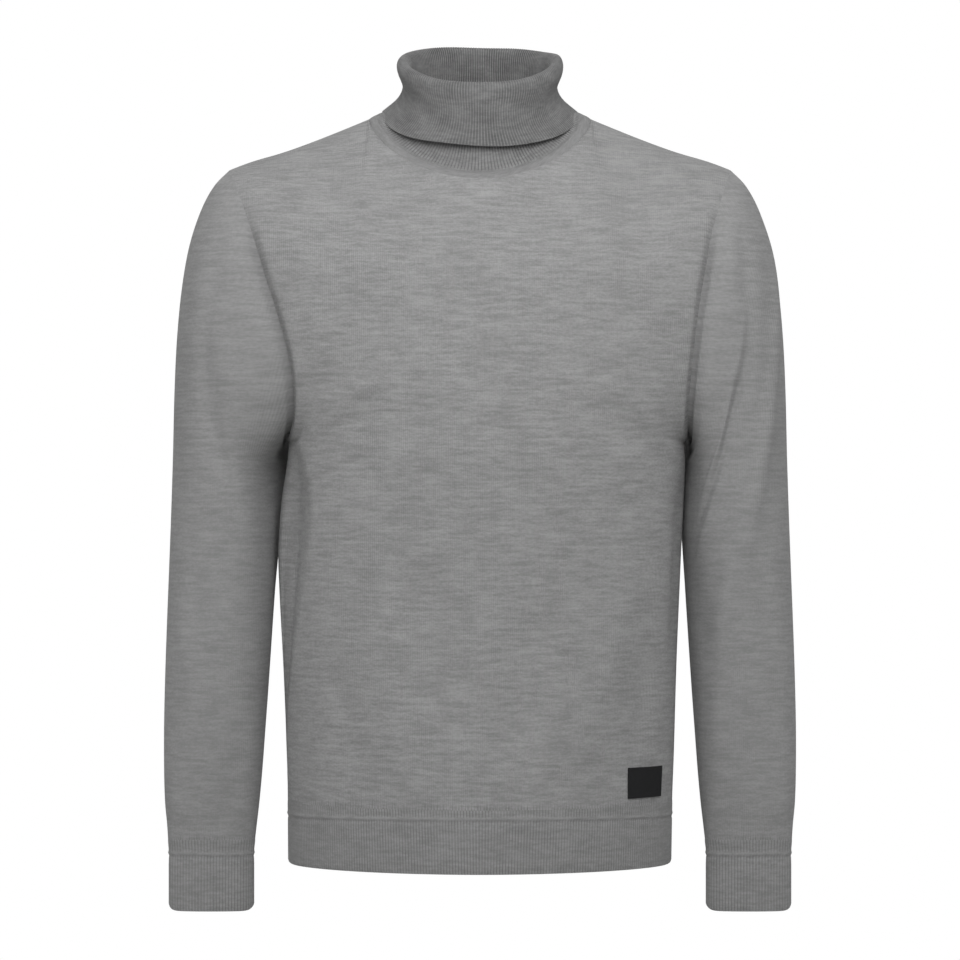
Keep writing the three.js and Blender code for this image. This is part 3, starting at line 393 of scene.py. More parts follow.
def yoke_point(side, s, up, rolled):
    """Above the armpits: a section through the armhole's points, rolled over to the top edge."""
    table = ARMHOLE[side]
    edge_z = read(table, "z", up)
    edge_x = np.where(s < 0, read(table, "left", up), read(table, "right", up))
    depth_there = read(BODY, side, edge_z)
    edge_share = np.clip(read(table, "depth", up) / depth_there, 0, 1)
    edge_turn = np.arccos(edge_share ** (YOKE_SQUARE / 2))
    half = edge_x / np.sin(edge_turn) ** YOKE_BEND
    turn = s * edge_turn
    tip_depth = read(BODY, side, TIP_Z)
    tip_turn = np.arccos((table["depth"][-1] / tip_depth) ** (YOKE_SQUARE / 2))
    top = top_point(side, s)
    top_section = TIP_X / np.sin(tip_turn) ** YOKE_BEND * power(np.sin(s * tip_turn), YOKE_BEND)
    x = half * power(np.sin(turn), YOKE_BEND) + (top[..., 0] - top_section) * up**3
    share = mix(up, (edge_z - ARMPIT) / (TIP_Z - ARMPIT), s * s)
    z = mix(ARMPIT, top[..., 2], share)
    depth = read(BODY, side, z) * power(np.maximum(np.cos(turn), 0), YOKE_BEND)
    near_neck = smooth(np.abs(s) / NECK_SHARE)
    outwards = smooth((np.abs(s) - NECK_SHARE) / (1 - NECK_SHARE))
    rounding = mix(mix(SHOULDER_ROLL, NECK_ROLL, near_neck), SHOULDER_ROLL, outwards)
    roundness = mix(NECK_ROUNDNESS * near_neck, 1, outwards)
    below = np.clip((top[..., 2] - z) / rounding, 0, 1)
    over = mix(np.sin(below * np.pi / 2), np.sqrt(1 - (1 - below) ** 2), roundness)
    over = over if rolled else 1
    fold = body_fold(side, np.degrees(turn), z) * smooth((1 - up) / 0.3)
    way = -1 if side == "front" else 1
    y = top[..., 1] + (way * depth - top[..., 1]) * over
    y = y + way * fold * np.cos(turn) + FLANK_DEEPER * flank_drop(side, s, z)
    return stack(x + fold * np.sin(turn), y, z)


# %% Grids of both panels
SHOULDER_STEPS, NECK_STEPS, LOWER_STEPS, YOKE_STEPS, ROWS_CLOSER = 38, 84, 88, 90, 1.5
shares = np.concatenate([
    np.linspace(-1, -NECK_SHARE, SHOULDER_STEPS + 1)[:-1],
    np.linspace(-NECK_SHARE, NECK_SHARE, NECK_STEPS + 1),
    np.linspace(NECK_SHARE, 1, SHOULDER_STEPS + 1)[1:],
])
lower_z = np.linspace(HEM_SEAM, ARMPIT, LOWER_STEPS + 1)[:-1]
# rows lie closer towards the top, where the cloth turns over the shoulder
yoke_up = 1 - (1 - np.linspace(0, 1, YOKE_STEPS + 1)) ** ROWS_CLOSER
panel, unrolled = {}, {}
for side in ("front", "back"):
    lower = body_point(side, shares[None, :], lower_z[:, None])
    upper, level = (yoke_point(side, shares[None, :], yoke_up[:, None], way) for way in (True, False))
    panel[side] = make_sheet(np.concatenate([lower, upper]), False, (0, 0, HEM_SEAM))
    unrolled[side] = np.concatenate([lower, level])
ARMPIT_ROW, TOP_ROW = LOWER_STEPS, LOWER_STEPS + YOKE_STEPS
print("panel grid:", panel["front"]["points"].shape[:2])

# %% [markdown]
# ## Sleeves
# A set-in sleeve starts as the armhole's own curve and settles into an upright oval that leans a
# little forwards. It has folds of its own, most at the elbow.

# %% Sleeve sections and folds
SLEEVE = columns("ring top under outer inner ahead behind y turn", [
    (0, TIP_Z, -290, 225.5, 178, 78, 76, 2, 0), (1, -58, -298, 239.5, 184, 81, 80, 4, 6),
    (2, -80, -306, 251.5, 183.6, 82, 82, 7, 14), (3, -112, -316, 262, 183.8, 81, 81, 10, 20),
    (4, -150, -330, 268.8, 183.2, 78, 78, 13, 21), (5, -195, -347, 273.2, 182.8, 75, 74, 15, 17),
    (6, -245, -368, 275.6, 183, 71, 70, 16, 11), (7, -300, -392, 277, 184, 67, 66, 17, 5),
    (8, -355, -420, 278.8, 185.6, 62, 61, 17, 1), (9, -405, -450, 280.6, 187.4, 57, 56, 15, 0),
    (10, -450, -480, 282.2, 189.2, 52, 51, 12, 0), (11, -495, -512, 283.6, 191.2, 46, 45, 9, 0),
    (12, -540, -548, 284.4, 193.6, 40, 39, 5, 0), (13, -580, -583, 284.2, 196, 34, 33, 1, 0),
    (14, -610, -611, 283.2, 198.4, 28, 27, -2, 0), (15, -631, -631, 281.2, 200.6, 22, 22, -4, 0),
    (16, -644, -644, 280.2, 202, 18, 18, -6, 0),
])
ARMHOLE_FADE = columns("ring keep", [
    (0, 1), (1, 0.72), (2, 0.49), (3, 0.31), (4, 0.18), (5, 0.1), (6, 0.05), (8, 0.01), (10, 0),
    (16, 0),
])
TURN_SHARE = {"left": 0.85, "right": 0.35}
WAY = {"left": -1, "right": 1}
LAST_RING = 16
# (from angle, from ring, to angle, to ring, depth out, width in degrees); 90 is the front
SLEEVE_FOLDS = {
    "left": [
        (62, 2, 96, 6, -3, 14), (150, 7, 108, 10, -0.8, 16), (272, 7, 238, 10, -4, 18),
        (60, 10, 84, 13, 2.5, 18), (84, 8, 120, 11, 1.2, 12),
        (120, 12, 100, 15, -1.4, 16), (300, 5, 262, 9, 1.6, 14), (290, 11, 250, 14, -1.6, 16),
    ],
    "right": [
        (32, 4, 106, 9, 4.5, 14), (152, 7, 128, 10, -1.5, 20), (58, 2, 100, 5, -3, 14),
        (268, 7, 300, 10, -4, 18), (84, 3, 128, 5, 1.6, 8), (92, 4, 134, 6, -1.5, 7),
        (96, 5, 138, 7, 1.5, 8), (104, 9, 124, 12, 1.6, 12), (70, 10, 60, 13, -1.8, 14),
        (96, 12, 112, 15, -1.5, 14), (296, 5, 250, 9, 1.8, 14), (250, 11, 286, 14, -1.6, 16),
    ],
}


# %% Surface of a sleeve
def sleeve_section(side, ring, angle):
    """An oval from its top line over the front to its under line, leaning with half its turn."""
    way = WAY[side]
    size = read_all(SLEEVE, ring)
    c, s = np.cos(angle), np.sin(angle)
    up = power(c, TUBE_BEND) / 2
    reach = power(s, TUBE_BEND) * np.where(s > 0, size["ahead"], size["behind"])
    turn = np.radians(size["turn"] * TURN_SHARE[side])
    lean = way * reach * np.tan(turn) * (1 - c) / 2
    x = way * (size["outer"] + size["inner"]) / 2 + way * (size["outer"] - size["inner"]) * up
    z = (size["top"] + size["under"]) / 2 + (size["top"] - size["under"]) * up
    return stack(x + lean, size["y"] - reach, z)


SLEEVE_ROWS = 150
# the sleeve's core at each height, which leans in to the shoulder: yarn coordinates turn about it
CORE = columns("z middle half y depth", [
    (-644, 241, 39, -6, 18), (-540, 239, 45, 5, 40), (-450, 236, 46, 12, 52), (-350, 231, 47, 16, 64),
    (-300, 228, 48, 16, 68), (-250, 224, 51, 16, 71), (-200, 217, 56, 15, 74), (-150, 208, 61, 13, 77),
    (-100, 196, 62, 10, 78), (-40, 184, 50, 4, 78),
])
CORE_RADIUS = 48


def sleeve_yarn(side, points):
    """Across: the angle about the core times a radius, with one column more. Along: height."""
    points = np.concatenate([points, points[:, :1]], axis=1)
    x, y, z = points[..., 0], points[..., 1], points[..., 2]
    core = read_all(CORE, z)
    turn = np.arctan2((core["y"] - y) / core["depth"], (WAY[side] * x - core["middle"]) / core["half"])
    turn = np.unwrap(turn, axis=1)
    middle = turn[:, turn.shape[1] // 2, None]
    return CORE_RADIUS * (turn - 2 * np.pi * np.round(middle / (2 * np.pi))), z


# an armhole runs down the front panel's edge and up the back panel's, at its first or last column
EDGE_COLUMN = {"left": 0, "right": -1}
down = np.arange(TOP_ROW, ARMPIT_ROW, -1)
rise = down[::-1] - 1
sleeve = {}
for side, column in EDGE_COLUMN.items():
    loop = np.concatenate([panel["front"]["points"][down, column], panel["back"]["points"][rise, column]])
    ahead = walk(loop[:YOKE_STEPS + 1], 0)
    behind = walk(np.concatenate([loop[YOKE_STEPS:], loop[:1]]), 0)
    angles = np.pi * np.concatenate([ahead[:-1] / ahead[-1], 1 + behind[:-1] / behind[-1]])[None, :]
    rings = np.linspace(0, LAST_RING, SLEEVE_ROWS + 1)[:, None]
    keep = read(ARMHOLE_FADE, "keep", rings)[..., None]
    points = sleeve_section(side, rings, angles)
    points = points + keep * (loop[None] - sleeve_section(side, np.zeros((1, 1)), angles))
    centre = loop.mean(axis=0)
    # the folds die out in the rings at the armhole and at the cuff
    fold = fold_sum(SLEEVE_FOLDS[side], np.degrees(angles), rings, 0.35, 0.5)
    fold = fold * smooth(rings) * smooth(LAST_RING - rings)
    folded = points + make_sheet(points, True, centre)["normals"] * fold[..., None]
    sleeve[side] = make_sheet(folded, True, centre)
print("sleeve grid:", sleeve["left"]["points"].shape[:2])

# %% [markdown]
# ## Seams
# Knitted pieces are linked loop to loop, which leaves a slim furrow and no open gap. So pieces
# that meet share edge points and normals, and both dip towards the seam, deepest under the arm.

# %% Shared normals along every seam
half_loop, seam_rows = np.arange(YOKE_STEPS), np.arange(ARMPIT_ROW + 1)
for side, column in EDGE_COLUMN.items():
    share_normals((panel["front"], (down, column)), (sleeve[side], (0, half_loop)))
    share_normals((panel["back"], (rise, column)), (sleeve[side], (0, half_loop + YOKE_STEPS)))
    share_normals((panel["front"], (seam_rows, column)), (panel["back"], (seam_rows, column)))
for low, high in ((0, SHOULDER_STEPS), (SHOULDER_STEPS + NECK_STEPS, len(shares) - 1)):
    seam = (TOP_ROW, np.arange(low, high + 1))
    share_normals((panel["front"], seam), (panel["back"], seam))

SIDE_DIP, SIDE_WIDTH, SHOULDER_DIP, NECK_DIP, SLIM = 0.7, 3.5, 0.05, 0.12, 2.5
SEAM_DIP, ARMHOLE_DIP, CREASE_DEPTH, CREASE_ON_BODY, CREASE_ON_SLEEVE = 0.1, 5.0, 3.4, 5, 11
# the armhole's crease starts at this height and is at its full depth this far below
CREASE_TOP, CREASE_RUN = -52, 90


def furrow(distance, depth, width):
    """How far cloth dips beside a seam: its depth times a bell curve of the distance to it."""
    return -depth * bell(distance, width)


def armhole_crease(distance, height, reach):
    """A slim furrow at the armhole seam in a wider one that deepens down to the armpit."""
    under_arm = smooth((CREASE_TOP - height) / CREASE_RUN)
    slim = furrow(distance, SEAM_DIP + ARMHOLE_DIP * under_arm, SLIM)
    return slim + furrow(distance, CREASE_DEPTH * under_arm, reach)


# %% [markdown]
# ## Ribbing
# A rib is a row of rounded ridges with slim valleys, and its back has ridges where the front has
# valleys. Colour stripes would look flat from the side, so the ribs are true geometry: a lift
# that is a power of a sine around the tube. Their valleys also get painted shade.

# %% Ribs round a tube
RIB_SAMPLES, RIB_ROUNDNESS = 6, 0.7
# a band's raised line, the slim dip below it, and how far its lower edge rounds off
RIDGE_HEIGHT, RIDGE_WIDTH, RIDGE_FLATTENS = 0.6, 1.3, 0.8
DIP_DEPTH, DIP_WIDTH, DIP_BELOW = 0.5, 1.5, 3.0
EDGE_ROUNDING, EDGE_RUN = 0.6, 2


def rib_wave(count, samples=RIB_SAMPLES):
    """Rounded ridges: 1 on a rib's top and 0 in the valley, as a power of a sine."""
    phase = np.arange(count * samples) / samples
    return np.abs(np.sin(np.pi * phase))[None, :] ** RIB_ROUNDNESS


def even_loop(loop_of, count):
    """Points spaced evenly by length on a closed curve, given as a function of 0 to 1."""
    dense = np.linspace(0, 1, 1441)
    length = walk(loop_of(dense), 0)
    return np.interp(np.arange(count) / count * length[-1], length, dense)


def band_wall(name, points, inside, z, line_z, seam, fade, bottom, wave, rib_height):
    """Rib geometry that starts softly at the seam and flattens on the raised line, with painted shade in
    its valleys going with it.
    """
    sheet = make_sheet(points, True, inside)
    # nearly level normals, so that the edges keep their height
    sheet["normals"] = unit(sheet["normals"] * (1, 1, 0.3))
    line = bell(z - line_z, RIDGE_WIDTH)
    rib_and_shade_share = 1 - RIDGE_FLATTENS * line
    ribbed = rib_and_shade_share * smooth((seam + 0.4 - z) / fade)
    lift = rib_height * (wave - 0.5) * ribbed + RIDGE_HEIGHT * line
    lift = lift - DIP_DEPTH * bell(z - (line_z - DIP_BELOW), DIP_WIDTH)
    lift = lift - EDGE_ROUNDING * smooth((bottom + EDGE_RUN - z) / EDGE_RUN)
    # painted shade in the rib valleys of both faces, which fades with the ribs
    shade = mix(1, wave, rib_and_shade_share), mix(1, 1 - wave, rib_and_shade_share)
    lift_inside = rib_height * (0.5 - wave) * ribbed
    cloth_wall(name, sheet, RIB_WALL, walk_round(points), z, lift, lift_inside, shade)


# %% [markdown]
# ## Hem band
# The hem is a ribbed tube that pulls in slightly. A raised line runs round it near the top, and
# the ribs fade into the plain knit above it; above the seam they go on only as painted shade.

# %% Hem band
HEM_RIBS, HEM_SAMPLES, HEM_RIB_HEIGHT, HEM_RIB_FADE = 342, 4, 0.34, 3.6
HEM_MIDDLE, HEM_HALF, HEM_LINE_RISE = -640, 172.5, 3.6
# the lower edge lifts at the two side seams
HEM_CORNER, HEM_CORNER_RUN, HEM_SHARPNESS = 1.5, 26, 60
hem_z = np.array([
    -666, -665.4, -664, -656, -646, -636, -629, -626, -624.4, -623.2, -622.2, -621.2, -620.2, -619.2,
    -618.2, -617.2, -616.2, -615, -613.4, -611.6, -610,
])[:, None]


def body_loop(t, z):
    """The body's closed section: along the front panel, then back along the back panel."""
    front = body_point("front", np.clip(4 * t - 1, -1, 1), z)
    back = body_point("back", np.clip(3 - 4 * t, -1, 1), z)
    return np.where((t < 0.5)[..., None], front, back)


hem_t = even_loop(lambda t: body_loop(t, HEM_MIDDLE), HEM_RIBS * HEM_SAMPLES)
hem_points = body_loop(hem_t[None, :], hem_z)
outwards = hem_points[..., 0] / HEM_HALF
corner = smooth((HEM_MIDDLE - hem_z) / HEM_CORNER_RUN) * np.abs(outwards) ** HEM_SHARPNESS
hem_points[..., 2] += HEM_CORNER * corner
band_wall(
    "hem_band_rib", hem_points, (0, 0, HEM_BOTTOM), hem_z,
    HEM_RIDGE + HEM_LINE_RISE * (1 - outwards**2), HEM_SEAM, HEM_RIB_FADE, HEM_BOTTOM,
    rib_wave(HEM_RIBS, HEM_SAMPLES), HEM_RIB_HEIGHT)

# %% [markdown]
# ## Cuffs
# A cuff is the same knit on a flat oval about the wrist. Its lower corners are soft, so the bottom
# edge lifts at both ends of the oval.

# %% Cuffs
CUFF_RIBS, CUFF_RIB_HEIGHT, CUFF_RIB_FADE = 68, 0.28, 4
CUFF_SEAM, CUFF_RIDGE, CUFF_MIDDLE, CUFF_BOTTOM = -644, -656.5, -676, -708
CUFF, CUFF_Y = {"outer": 279.5, "inner": 203, "ahead": 17}, -6
CUFF_CORNER, CUFF_CORNER_TOP, CUFF_SHARPNESS = 4, -688, 14
# the cuff takes over from the sleeve's last section within this height
CUFF_BLEND = 11
cuff_z = np.array([
    -708, -707.4, -706, -702, -696, -688, -676, -667, -661, -659.2, -658, -657, -656,
    -655, -653.6, -651, -648, -646, -644,
])[:, None]


def cuff_point(side, angle, z):
    """A flat oval that turns from the sleeve's last section into the cuff's own, lower down."""
    own = smooth((CUFF_SEAM - z) / CUFF_BLEND)
    c, s = power(np.cos(angle), TUBE_BEND), power(np.sin(angle), TUBE_BEND)
    outer, inner, depth = (mix(SLEEVE[name][-1], CUFF[name], own) for name in CUFF)
    low = smooth((CUFF_CORNER_TOP - z) / (CUFF_CORNER_TOP - CUFF_BOTTOM))
    x = WAY[side] * (outer + inner + (outer - inner) * c) / 2
    return stack(x, CUFF_Y - depth * s, z + CUFF_CORNER * np.abs(c) ** CUFF_SHARPNESS * low)


for side in ("left", "right"):
    cuff_t = even_loop(lambda t: cuff_point(side, 2 * np.pi * t, CUFF_MIDDLE), CUFF_RIBS * RIB_SAMPLES)
    points = cuff_point(side, 2 * np.pi * cuff_t[None, :], cuff_z)
    core_point = (WAY[side] * (CUFF["outer"] + CUFF["inner"]) / 2, CUFF_Y, CUFF_BOTTOM)
    band_wall(
        f"cuff_{side}_rib", points, core_point, cuff_z, CUFF_RIDGE, CUFF_SEAM,
        CUFF_RIB_FADE, CUFF_BOTTOM, rib_wave(CUFF_RIBS), CUFF_RIB_HEIGHT)

# %% [markdown]
# ## Neck strip and collar
# A smooth strip covers the join of neckline and collar. The collar is one ribbed tube: it stands
# up from the strip, narrows at the neck, rolls outwards over a soft rim and hangs down again to
# a free edge. Its rings are read as one smooth profile.

# %% Neck rings
COLLAR = columns("ring " + RING_NAMES, [
    (0, 93.5, 7, 73, -50.5, 57, 13, 1.3, 0), (1, 80, 12, 70, -39, 55.5, 22, 1.25, 0),
    (2, 68, 20, 67.5, -22, 55, 34, 1.2, 0), (3, 64, 33, 65.5, -3, 55, 48, 1.1, 0),
    (4, 63.8, 46, 64, 12, 55.5, 60, 1, 0), (5, 66.2, 55, 65, 24, 57, 69.5, 1, 0),
    (6, 69.8, 58, 68.3, 28, 60.5, 73, 1, 0), (7, 72.8, 54.2, 71.4, 24.2, 63.6, 69.5, 1, 0.005),
    (8, 72.8, 47.5, 72.2, 17, 64.2, 62, 1, 0.01), (9, 67.9, 33, 72.4, 2, 62.5, 46, 1, 0.01),
    (10, 72.8, 20.6, 72.8, -13, 63.6, 31, 0.9, 0.01), (11, 87.2, 8.2, 73.8, -27.5, 65.2, 18, 0.85, 0.01),
])
STRIP = columns("ring " + RING_NAMES, [
    (0, 100, 3, 80, -56, 61, 8, 1.3, 0), (1, 97, 5, 77, -53, 59.5, 10.5, 1.3, 0),
    (2, 93.5, 7, 73, -50.5, 57, 13, 1.3, 0),
])


def round_angles(count):
    """A row of even angles round a ring, from its left side over the front."""
    return np.pi - 2 * np.pi * np.arange(count)[None, :] / count


def wavy(angle, parts):
    """A slow uneven wave round a ring: a sum of sines of given counts, heights and starts."""
    return sum(height * np.sin(count * angle + start) for count, height, start in parts)


# %% Neck strip and collar surfaces
NECK_RIBS = 186
NECK_INSIDE = (0, SHOULDER_Y, -60)
STRIP_LAST, COLLAR_RIM, COLLAR_DOWN, COLLAR_LAST = 2, 6, 8, 11
RIM_WAVES = [(2, 0.5, 0.4), (3, 0.45, 1.9), (5, 0.3, 0.7), (7, 0.2, 2.6)]
EDGE_WAVES = [(3, 0.4, 2.2), (4, 0.4, 0.3), (7, 0.25, 1.1)]
neck_count = NECK_RIBS * RIB_SAMPLES
strip_count = 4 * NECK_STEPS
strip_place = np.linspace(0, STRIP_LAST, 13)[:, None]
strip_points = ring_point(read_all(STRIP, strip_place), round_angles(strip_count))
strip = make_sheet(strip_points, True, NECK_INSIDE)
collar_place = np.concatenate([
    np.linspace(0, 4, 15)[:-1], np.linspace(4, 8.4, 20)[:-1], np.linspace(8.4, COLLAR_LAST, 11),
])[:, None]
collar_angles = round_angles(neck_count)
collar_points = ring_point(read_all(COLLAR, collar_place), collar_angles)
collar_points[..., 2] += wavy(collar_angles, RIM_WAVES) * bell(collar_place - COLLAR_RIM, 1.6)
collar_points[..., 2] += wavy(collar_angles, EDGE_WAVES) * smooth((collar_place - COLLAR_DOWN) / 2.5)
# the turned-over part faces the other way, so only the stand's rows tell which side is out
collar = make_sheet(collar_points, True, NECK_INSIDE, rows=8)
print("neck grids:", strip_points.shape[:2], collar_points.shape[:2])


def spread_round(normals, count):
    """Normals of a closed row read at another number of even places, and made unit again."""
    place = np.arange(count) / count * len(normals)
    loop = np.concatenate([normals, normals[:1]])
    return unit(np.stack([np.interp(place, np.arange(len(loop)), loop[:, k]) for k in range(3)], -1))


# %% Shared normals round the neck
neck_columns = np.arange(SHOULDER_STEPS, SHOULDER_STEPS + NECK_STEPS + 1)
neck_front = panel["front"]["normals"][TOP_ROW, neck_columns]
neck_back = panel["back"]["normals"][TOP_ROW, neck_columns[::-1]]
body_normals = spread_round(np.concatenate([neck_front[:-1], neck_back[:-1]]), strip_count)
joined = unit(body_normals + strip["normals"][0])
strip["normals"][0] = joined
panel["front"]["normals"][TOP_ROW, neck_columns] = joined[:2 * NECK_STEPS + 1:2]
behind = np.concatenate([joined[2 * NECK_STEPS::2], joined[:1]])
panel["back"]["normals"][TOP_ROW, neck_columns[::-1]] = behind
joined = unit(spread_round(collar["normals"][0], strip_count) + strip["normals"][-1])
strip["normals"][-1] = joined
collar["normals"][0] = spread_round(joined, neck_count)

# %% Front and back panels as cloth
# share of the cloth's way back over the shoulder that the courses count as height
ROLL_LENGTH = 0.85
for side in ("front", "back"):
    points = panel[side]["points"]
    middle = len(shares) // 2
    across = walk(unrolled[side], 1, (0, 1))
    across = across - across[:, middle:middle + 1]
    retreat = np.abs(points[..., 1] - unrolled[side][..., 1])
    course = points[..., 2] + ROLL_LENGTH * retreat
    from_side = walk(points, 1, (0, 1))
    from_hem = walk(points, 0, (1, 2))
    edge_distance = np.minimum(from_side, from_side[:, -1:] - from_side)
    top_distance = from_hem[-1:] - from_hem
    crease = armhole_crease(edge_distance, points[..., 2], CREASE_ON_BODY)
    above = smooth((np.arange(len(points))[:, None] - ARMPIT_ROW) / 10)
    neck_edge = smooth((NECK_SHARE + 0.02 - np.abs(shares)) / 0.04)[None, :]
    dip = mix(furrow(edge_distance, SIDE_DIP, SIDE_WIDTH), crease, above)
    dip = dip + furrow(top_distance, mix(SHOULDER_DIP, NECK_DIP, neck_edge), SLIM)
    cloth_wall(side + "_panel_knit", panel[side], BODY_WALL, across, course, dip, -dip)

# %% Sleeves as cloth
for side in ("left", "right"):
    # column 0 moves to the under-arm line, where the pattern's ends are out of sight
    points, normals = (np.roll(sleeve[side][key], -YOKE_STEPS, axis=1) for key in ("points", "normals"))
    under_first = {"points": points, "normals": normals, "closed": True}
    around, course = sleeve_yarn(side, points)
    dip = armhole_crease(walk(points, 0), points[:1, :, 2], CREASE_ON_SLEEVE)
    cloth_wall(f"sleeve_{side}_knit", under_first, BODY_WALL, around, course, dip, -dip)

# %% Neck strip and collar as cloth
STRIP_SWELL, SWELL_ROUNDNESS = 0.22, 0.8
swell = STRIP_SWELL * np.sin(np.pi * strip_place / STRIP_LAST) ** SWELL_ROUNDNESS
strip_along = walk(strip_points, 0)[:, :1]
cloth_wall("neck_strip_knit", strip, TRIM_WALL, walk_round(strip_points), strip_along, swell - NECK_DIP)

COLLAR_RIB_HEIGHT, COLLAR_ROUND = 0.64, 455
# painted shade on the collar: darker rib valleys on both faces, and the turned part darker still by the
# last factor
INSIDE_RIBS, OUTSIDE_RIBS, OUTSIDE_SHADE = 0.65, 0.5, 0.8
wave = rib_wave(NECK_RIBS)
started = smooth(collar_place / 0.25)
# the turned part shows the same face as the inside of the neck, but stretched flatter
outside = smooth((collar_place - 5.4) / 1.4)
flatter = started * mix(INSIDE_RIBS, OUTSIDE_RIBS, outside)
collar_along = walk(collar_points, 0)
cloth_wall(
    "collar_rib", collar, COLLAR_WALL, np.linspace(0, COLLAR_ROUND, neck_count + 1)[None, :],
    collar_along[:, :1], COLLAR_RIB_HEIGHT * (wave - 0.5) * started + furrow(collar_along, NECK_DIP, 2),
    COLLAR_RIB_HEIGHT * (0.5 - wave) * flatter,
    (mix(1, wave, started), mix(1, 1 - wave, flatter / INSIDE_RIBS) * mix(1, OUTSIDE_SHADE, outside)))

# %% [markdown]
# ## Hem tab
# A small woven tab lies on the front. It is a patch of the panel's own surface, moved out, so it
# follows the cloth. Its edges are folded under, which makes a raised border.

# %% Hem tab
TAB_LEFT_X, TAB_TOP, TAB_WIDTH, TAB_HEIGHT, TAB_LIFT, TAB_WALL = 130, -576, 44, 27, 0.4, 1.0
BORDER_WIDTH, BORDER_HEIGHT, EDGE_WIDTH, EDGE_DROP = 2.2, 0.25, 0.9, 0.35
dense = np.linspace(0.2, 0.9, 4001)
tab_line = body_point("front", dense, TAB_TOP - TAB_HEIGHT)
tab_from = np.interp(TAB_LEFT_X, tab_line[:, 0], dense)
tab_length = walk(tab_line, 0)
tab_across = np.linspace(0, TAB_WIDTH, 58)[None, :]
tab_along = np.linspace(0, TAB_HEIGHT, 42)[:, None]
tab_s = np.interp(np.interp(tab_from, dense, tab_length) + tab_across, tab_length, dense)
tab_points = body_point("front", tab_s, TAB_TOP - TAB_HEIGHT + tab_along)
tab = make_sheet(tab_points, False, (0, 0, TAB_TOP))
tab["points"] = tab_points + tab["normals"] * (TAB_LIFT + TAB_WALL)
from_side = np.minimum(tab_across, TAB_WIDTH - tab_across)
from_edge = np.minimum(from_side, np.minimum(tab_along, TAB_HEIGHT - tab_along))
border = BORDER_HEIGHT * smooth((BORDER_WIDTH - from_edge) / 0.7)
border = border - EDGE_DROP * (1 - smooth(from_edge / EDGE_WIDTH))
cloth_wall("hem_tab_woven", tab, TAB_WALL, tab_across, tab_along, border)

# %% [markdown]
# ## Finishes
# Colours start as sRGB hex values, turned to linear light. Wool is matt with a soft sheen from
# loose fibres, so specular is low. Patterns read the pieces' own "yarn" coordinates, which are
# metres across and along the knit.


# %% Colour and node helpers
def linear(hex_value):
    """sRGB hex to linear light: divide by 12.92 when dark, else the 2.4 power curve."""
    srgb = np.array([int(hex_value[k:k + 2], 16) for k in (1, 3, 5)]) / 255
    light = np.where(srgb <= 0.04045, srgb / 12.92, ((srgb + 0.055) / 1.055) ** 2.4)
    return (*light.tolist(), 1.0)


def add(tree, kind, inputs=None, **settings):
    """Adds a node; inputs are values, sockets, or nodes that stand for their first output."""
    made = tree.nodes.new("ShaderNode" + kind)
    for name, value in settings.items():
        setattr(made, name, value)
    for name, value in (inputs or {}).items():
        value = value.outputs[0] if isinstance(value, bpy.types.Node) else value
        if isinstance(value, bpy.types.NodeSocket):
            tree.links.new(value, made.inputs[name])
        else:
            made.inputs[name].default_value = value
    return made


def new_finish(name):
    """An empty material and its node tree."""
    material = bpy.data.materials.new(name)
    material.use_nodes = True
    material.node_tree.nodes.clear()
    return material, material.node_tree


# %% [markdown]
# ## Wool melange
# The yarn is spun from light and dark fibres, so each course shows short soft streaks. A real
# streak is one course high, about 1.2 mm; they are drawn two to three courses high, as they run
# together in the picture. A fine-gauge wale is 1.4 mm wide, drawn at 1.9 mm so that it can show.

# %% Sizes of the knit in millimetres
RIB_PITCH, WALE_PITCH, RIB_END_WAVER = 2.73, 1.9, 12
LONG_HEIGHT, SHORT_HEIGHT, FLECK_LENGTH, FLECK_HEIGHT = 3.6, 2.4, 3.0, 1.6
LONG_SHARE, SHORT_SHARE = 1.5, 0.6


def noise(tree, yarn, length, height, detail, seed):
    """Soft noise whose patches are about a length by a height in millimetres of knit."""
    scaled = add(tree, "Mapping", {
        "Vector": yarn, "Location": (seed, seed * 1.7, 0), "Scale": (1000 / length, 1000 / height, 1)})
    return add(tree, "TexNoise", {"Vector": scaled, "Scale": 1.0, "Detail": detail}, noise_dimensions="2D")


def fading_rib_shade(tree, yarn, rib_shade_from, rib_shade_to):
    """Painted rib shade: 1 less a rib wave across the knit that fades out, a little unevenly, between two
    heights.
    """
    part = add(tree, "SeparateXYZ", {"Vector": yarn})
    uneven = add(tree, "Math", {
        0: noise(tree, yarn, 4, 30, 1.0, 95.0), 1: RIB_END_WAVER * MM, 2: part.outputs["Y"],
    }, operation="MULTIPLY_ADD")
    faded = add(tree, "MapRange", {
        "Value": uneven, "From Min": (rib_shade_from + RIB_END_WAVER / 2) * MM,
        "From Max": (rib_shade_to + RIB_END_WAVER / 2) * MM, "To Min": 1.0, "To Max": 0.0})
    turn = add(tree, "Math", {
        0: part.outputs["X"], 1: 2 * np.pi / (RIB_PITCH * MM)}, operation="MULTIPLY")
    wave = add(tree, "Math", {0: turn}, operation="SINE")
    wave = add(tree, "Math", {0: wave, 1: 0.5, 2: 0.5}, operation="MULTIPLY_ADD")
    rib = add(tree, "Math", {0: wave, 1: faded}, operation="MULTIPLY")
    return add(tree, "Math", {0: 1.0, 1: rib}, operation="SUBTRACT")


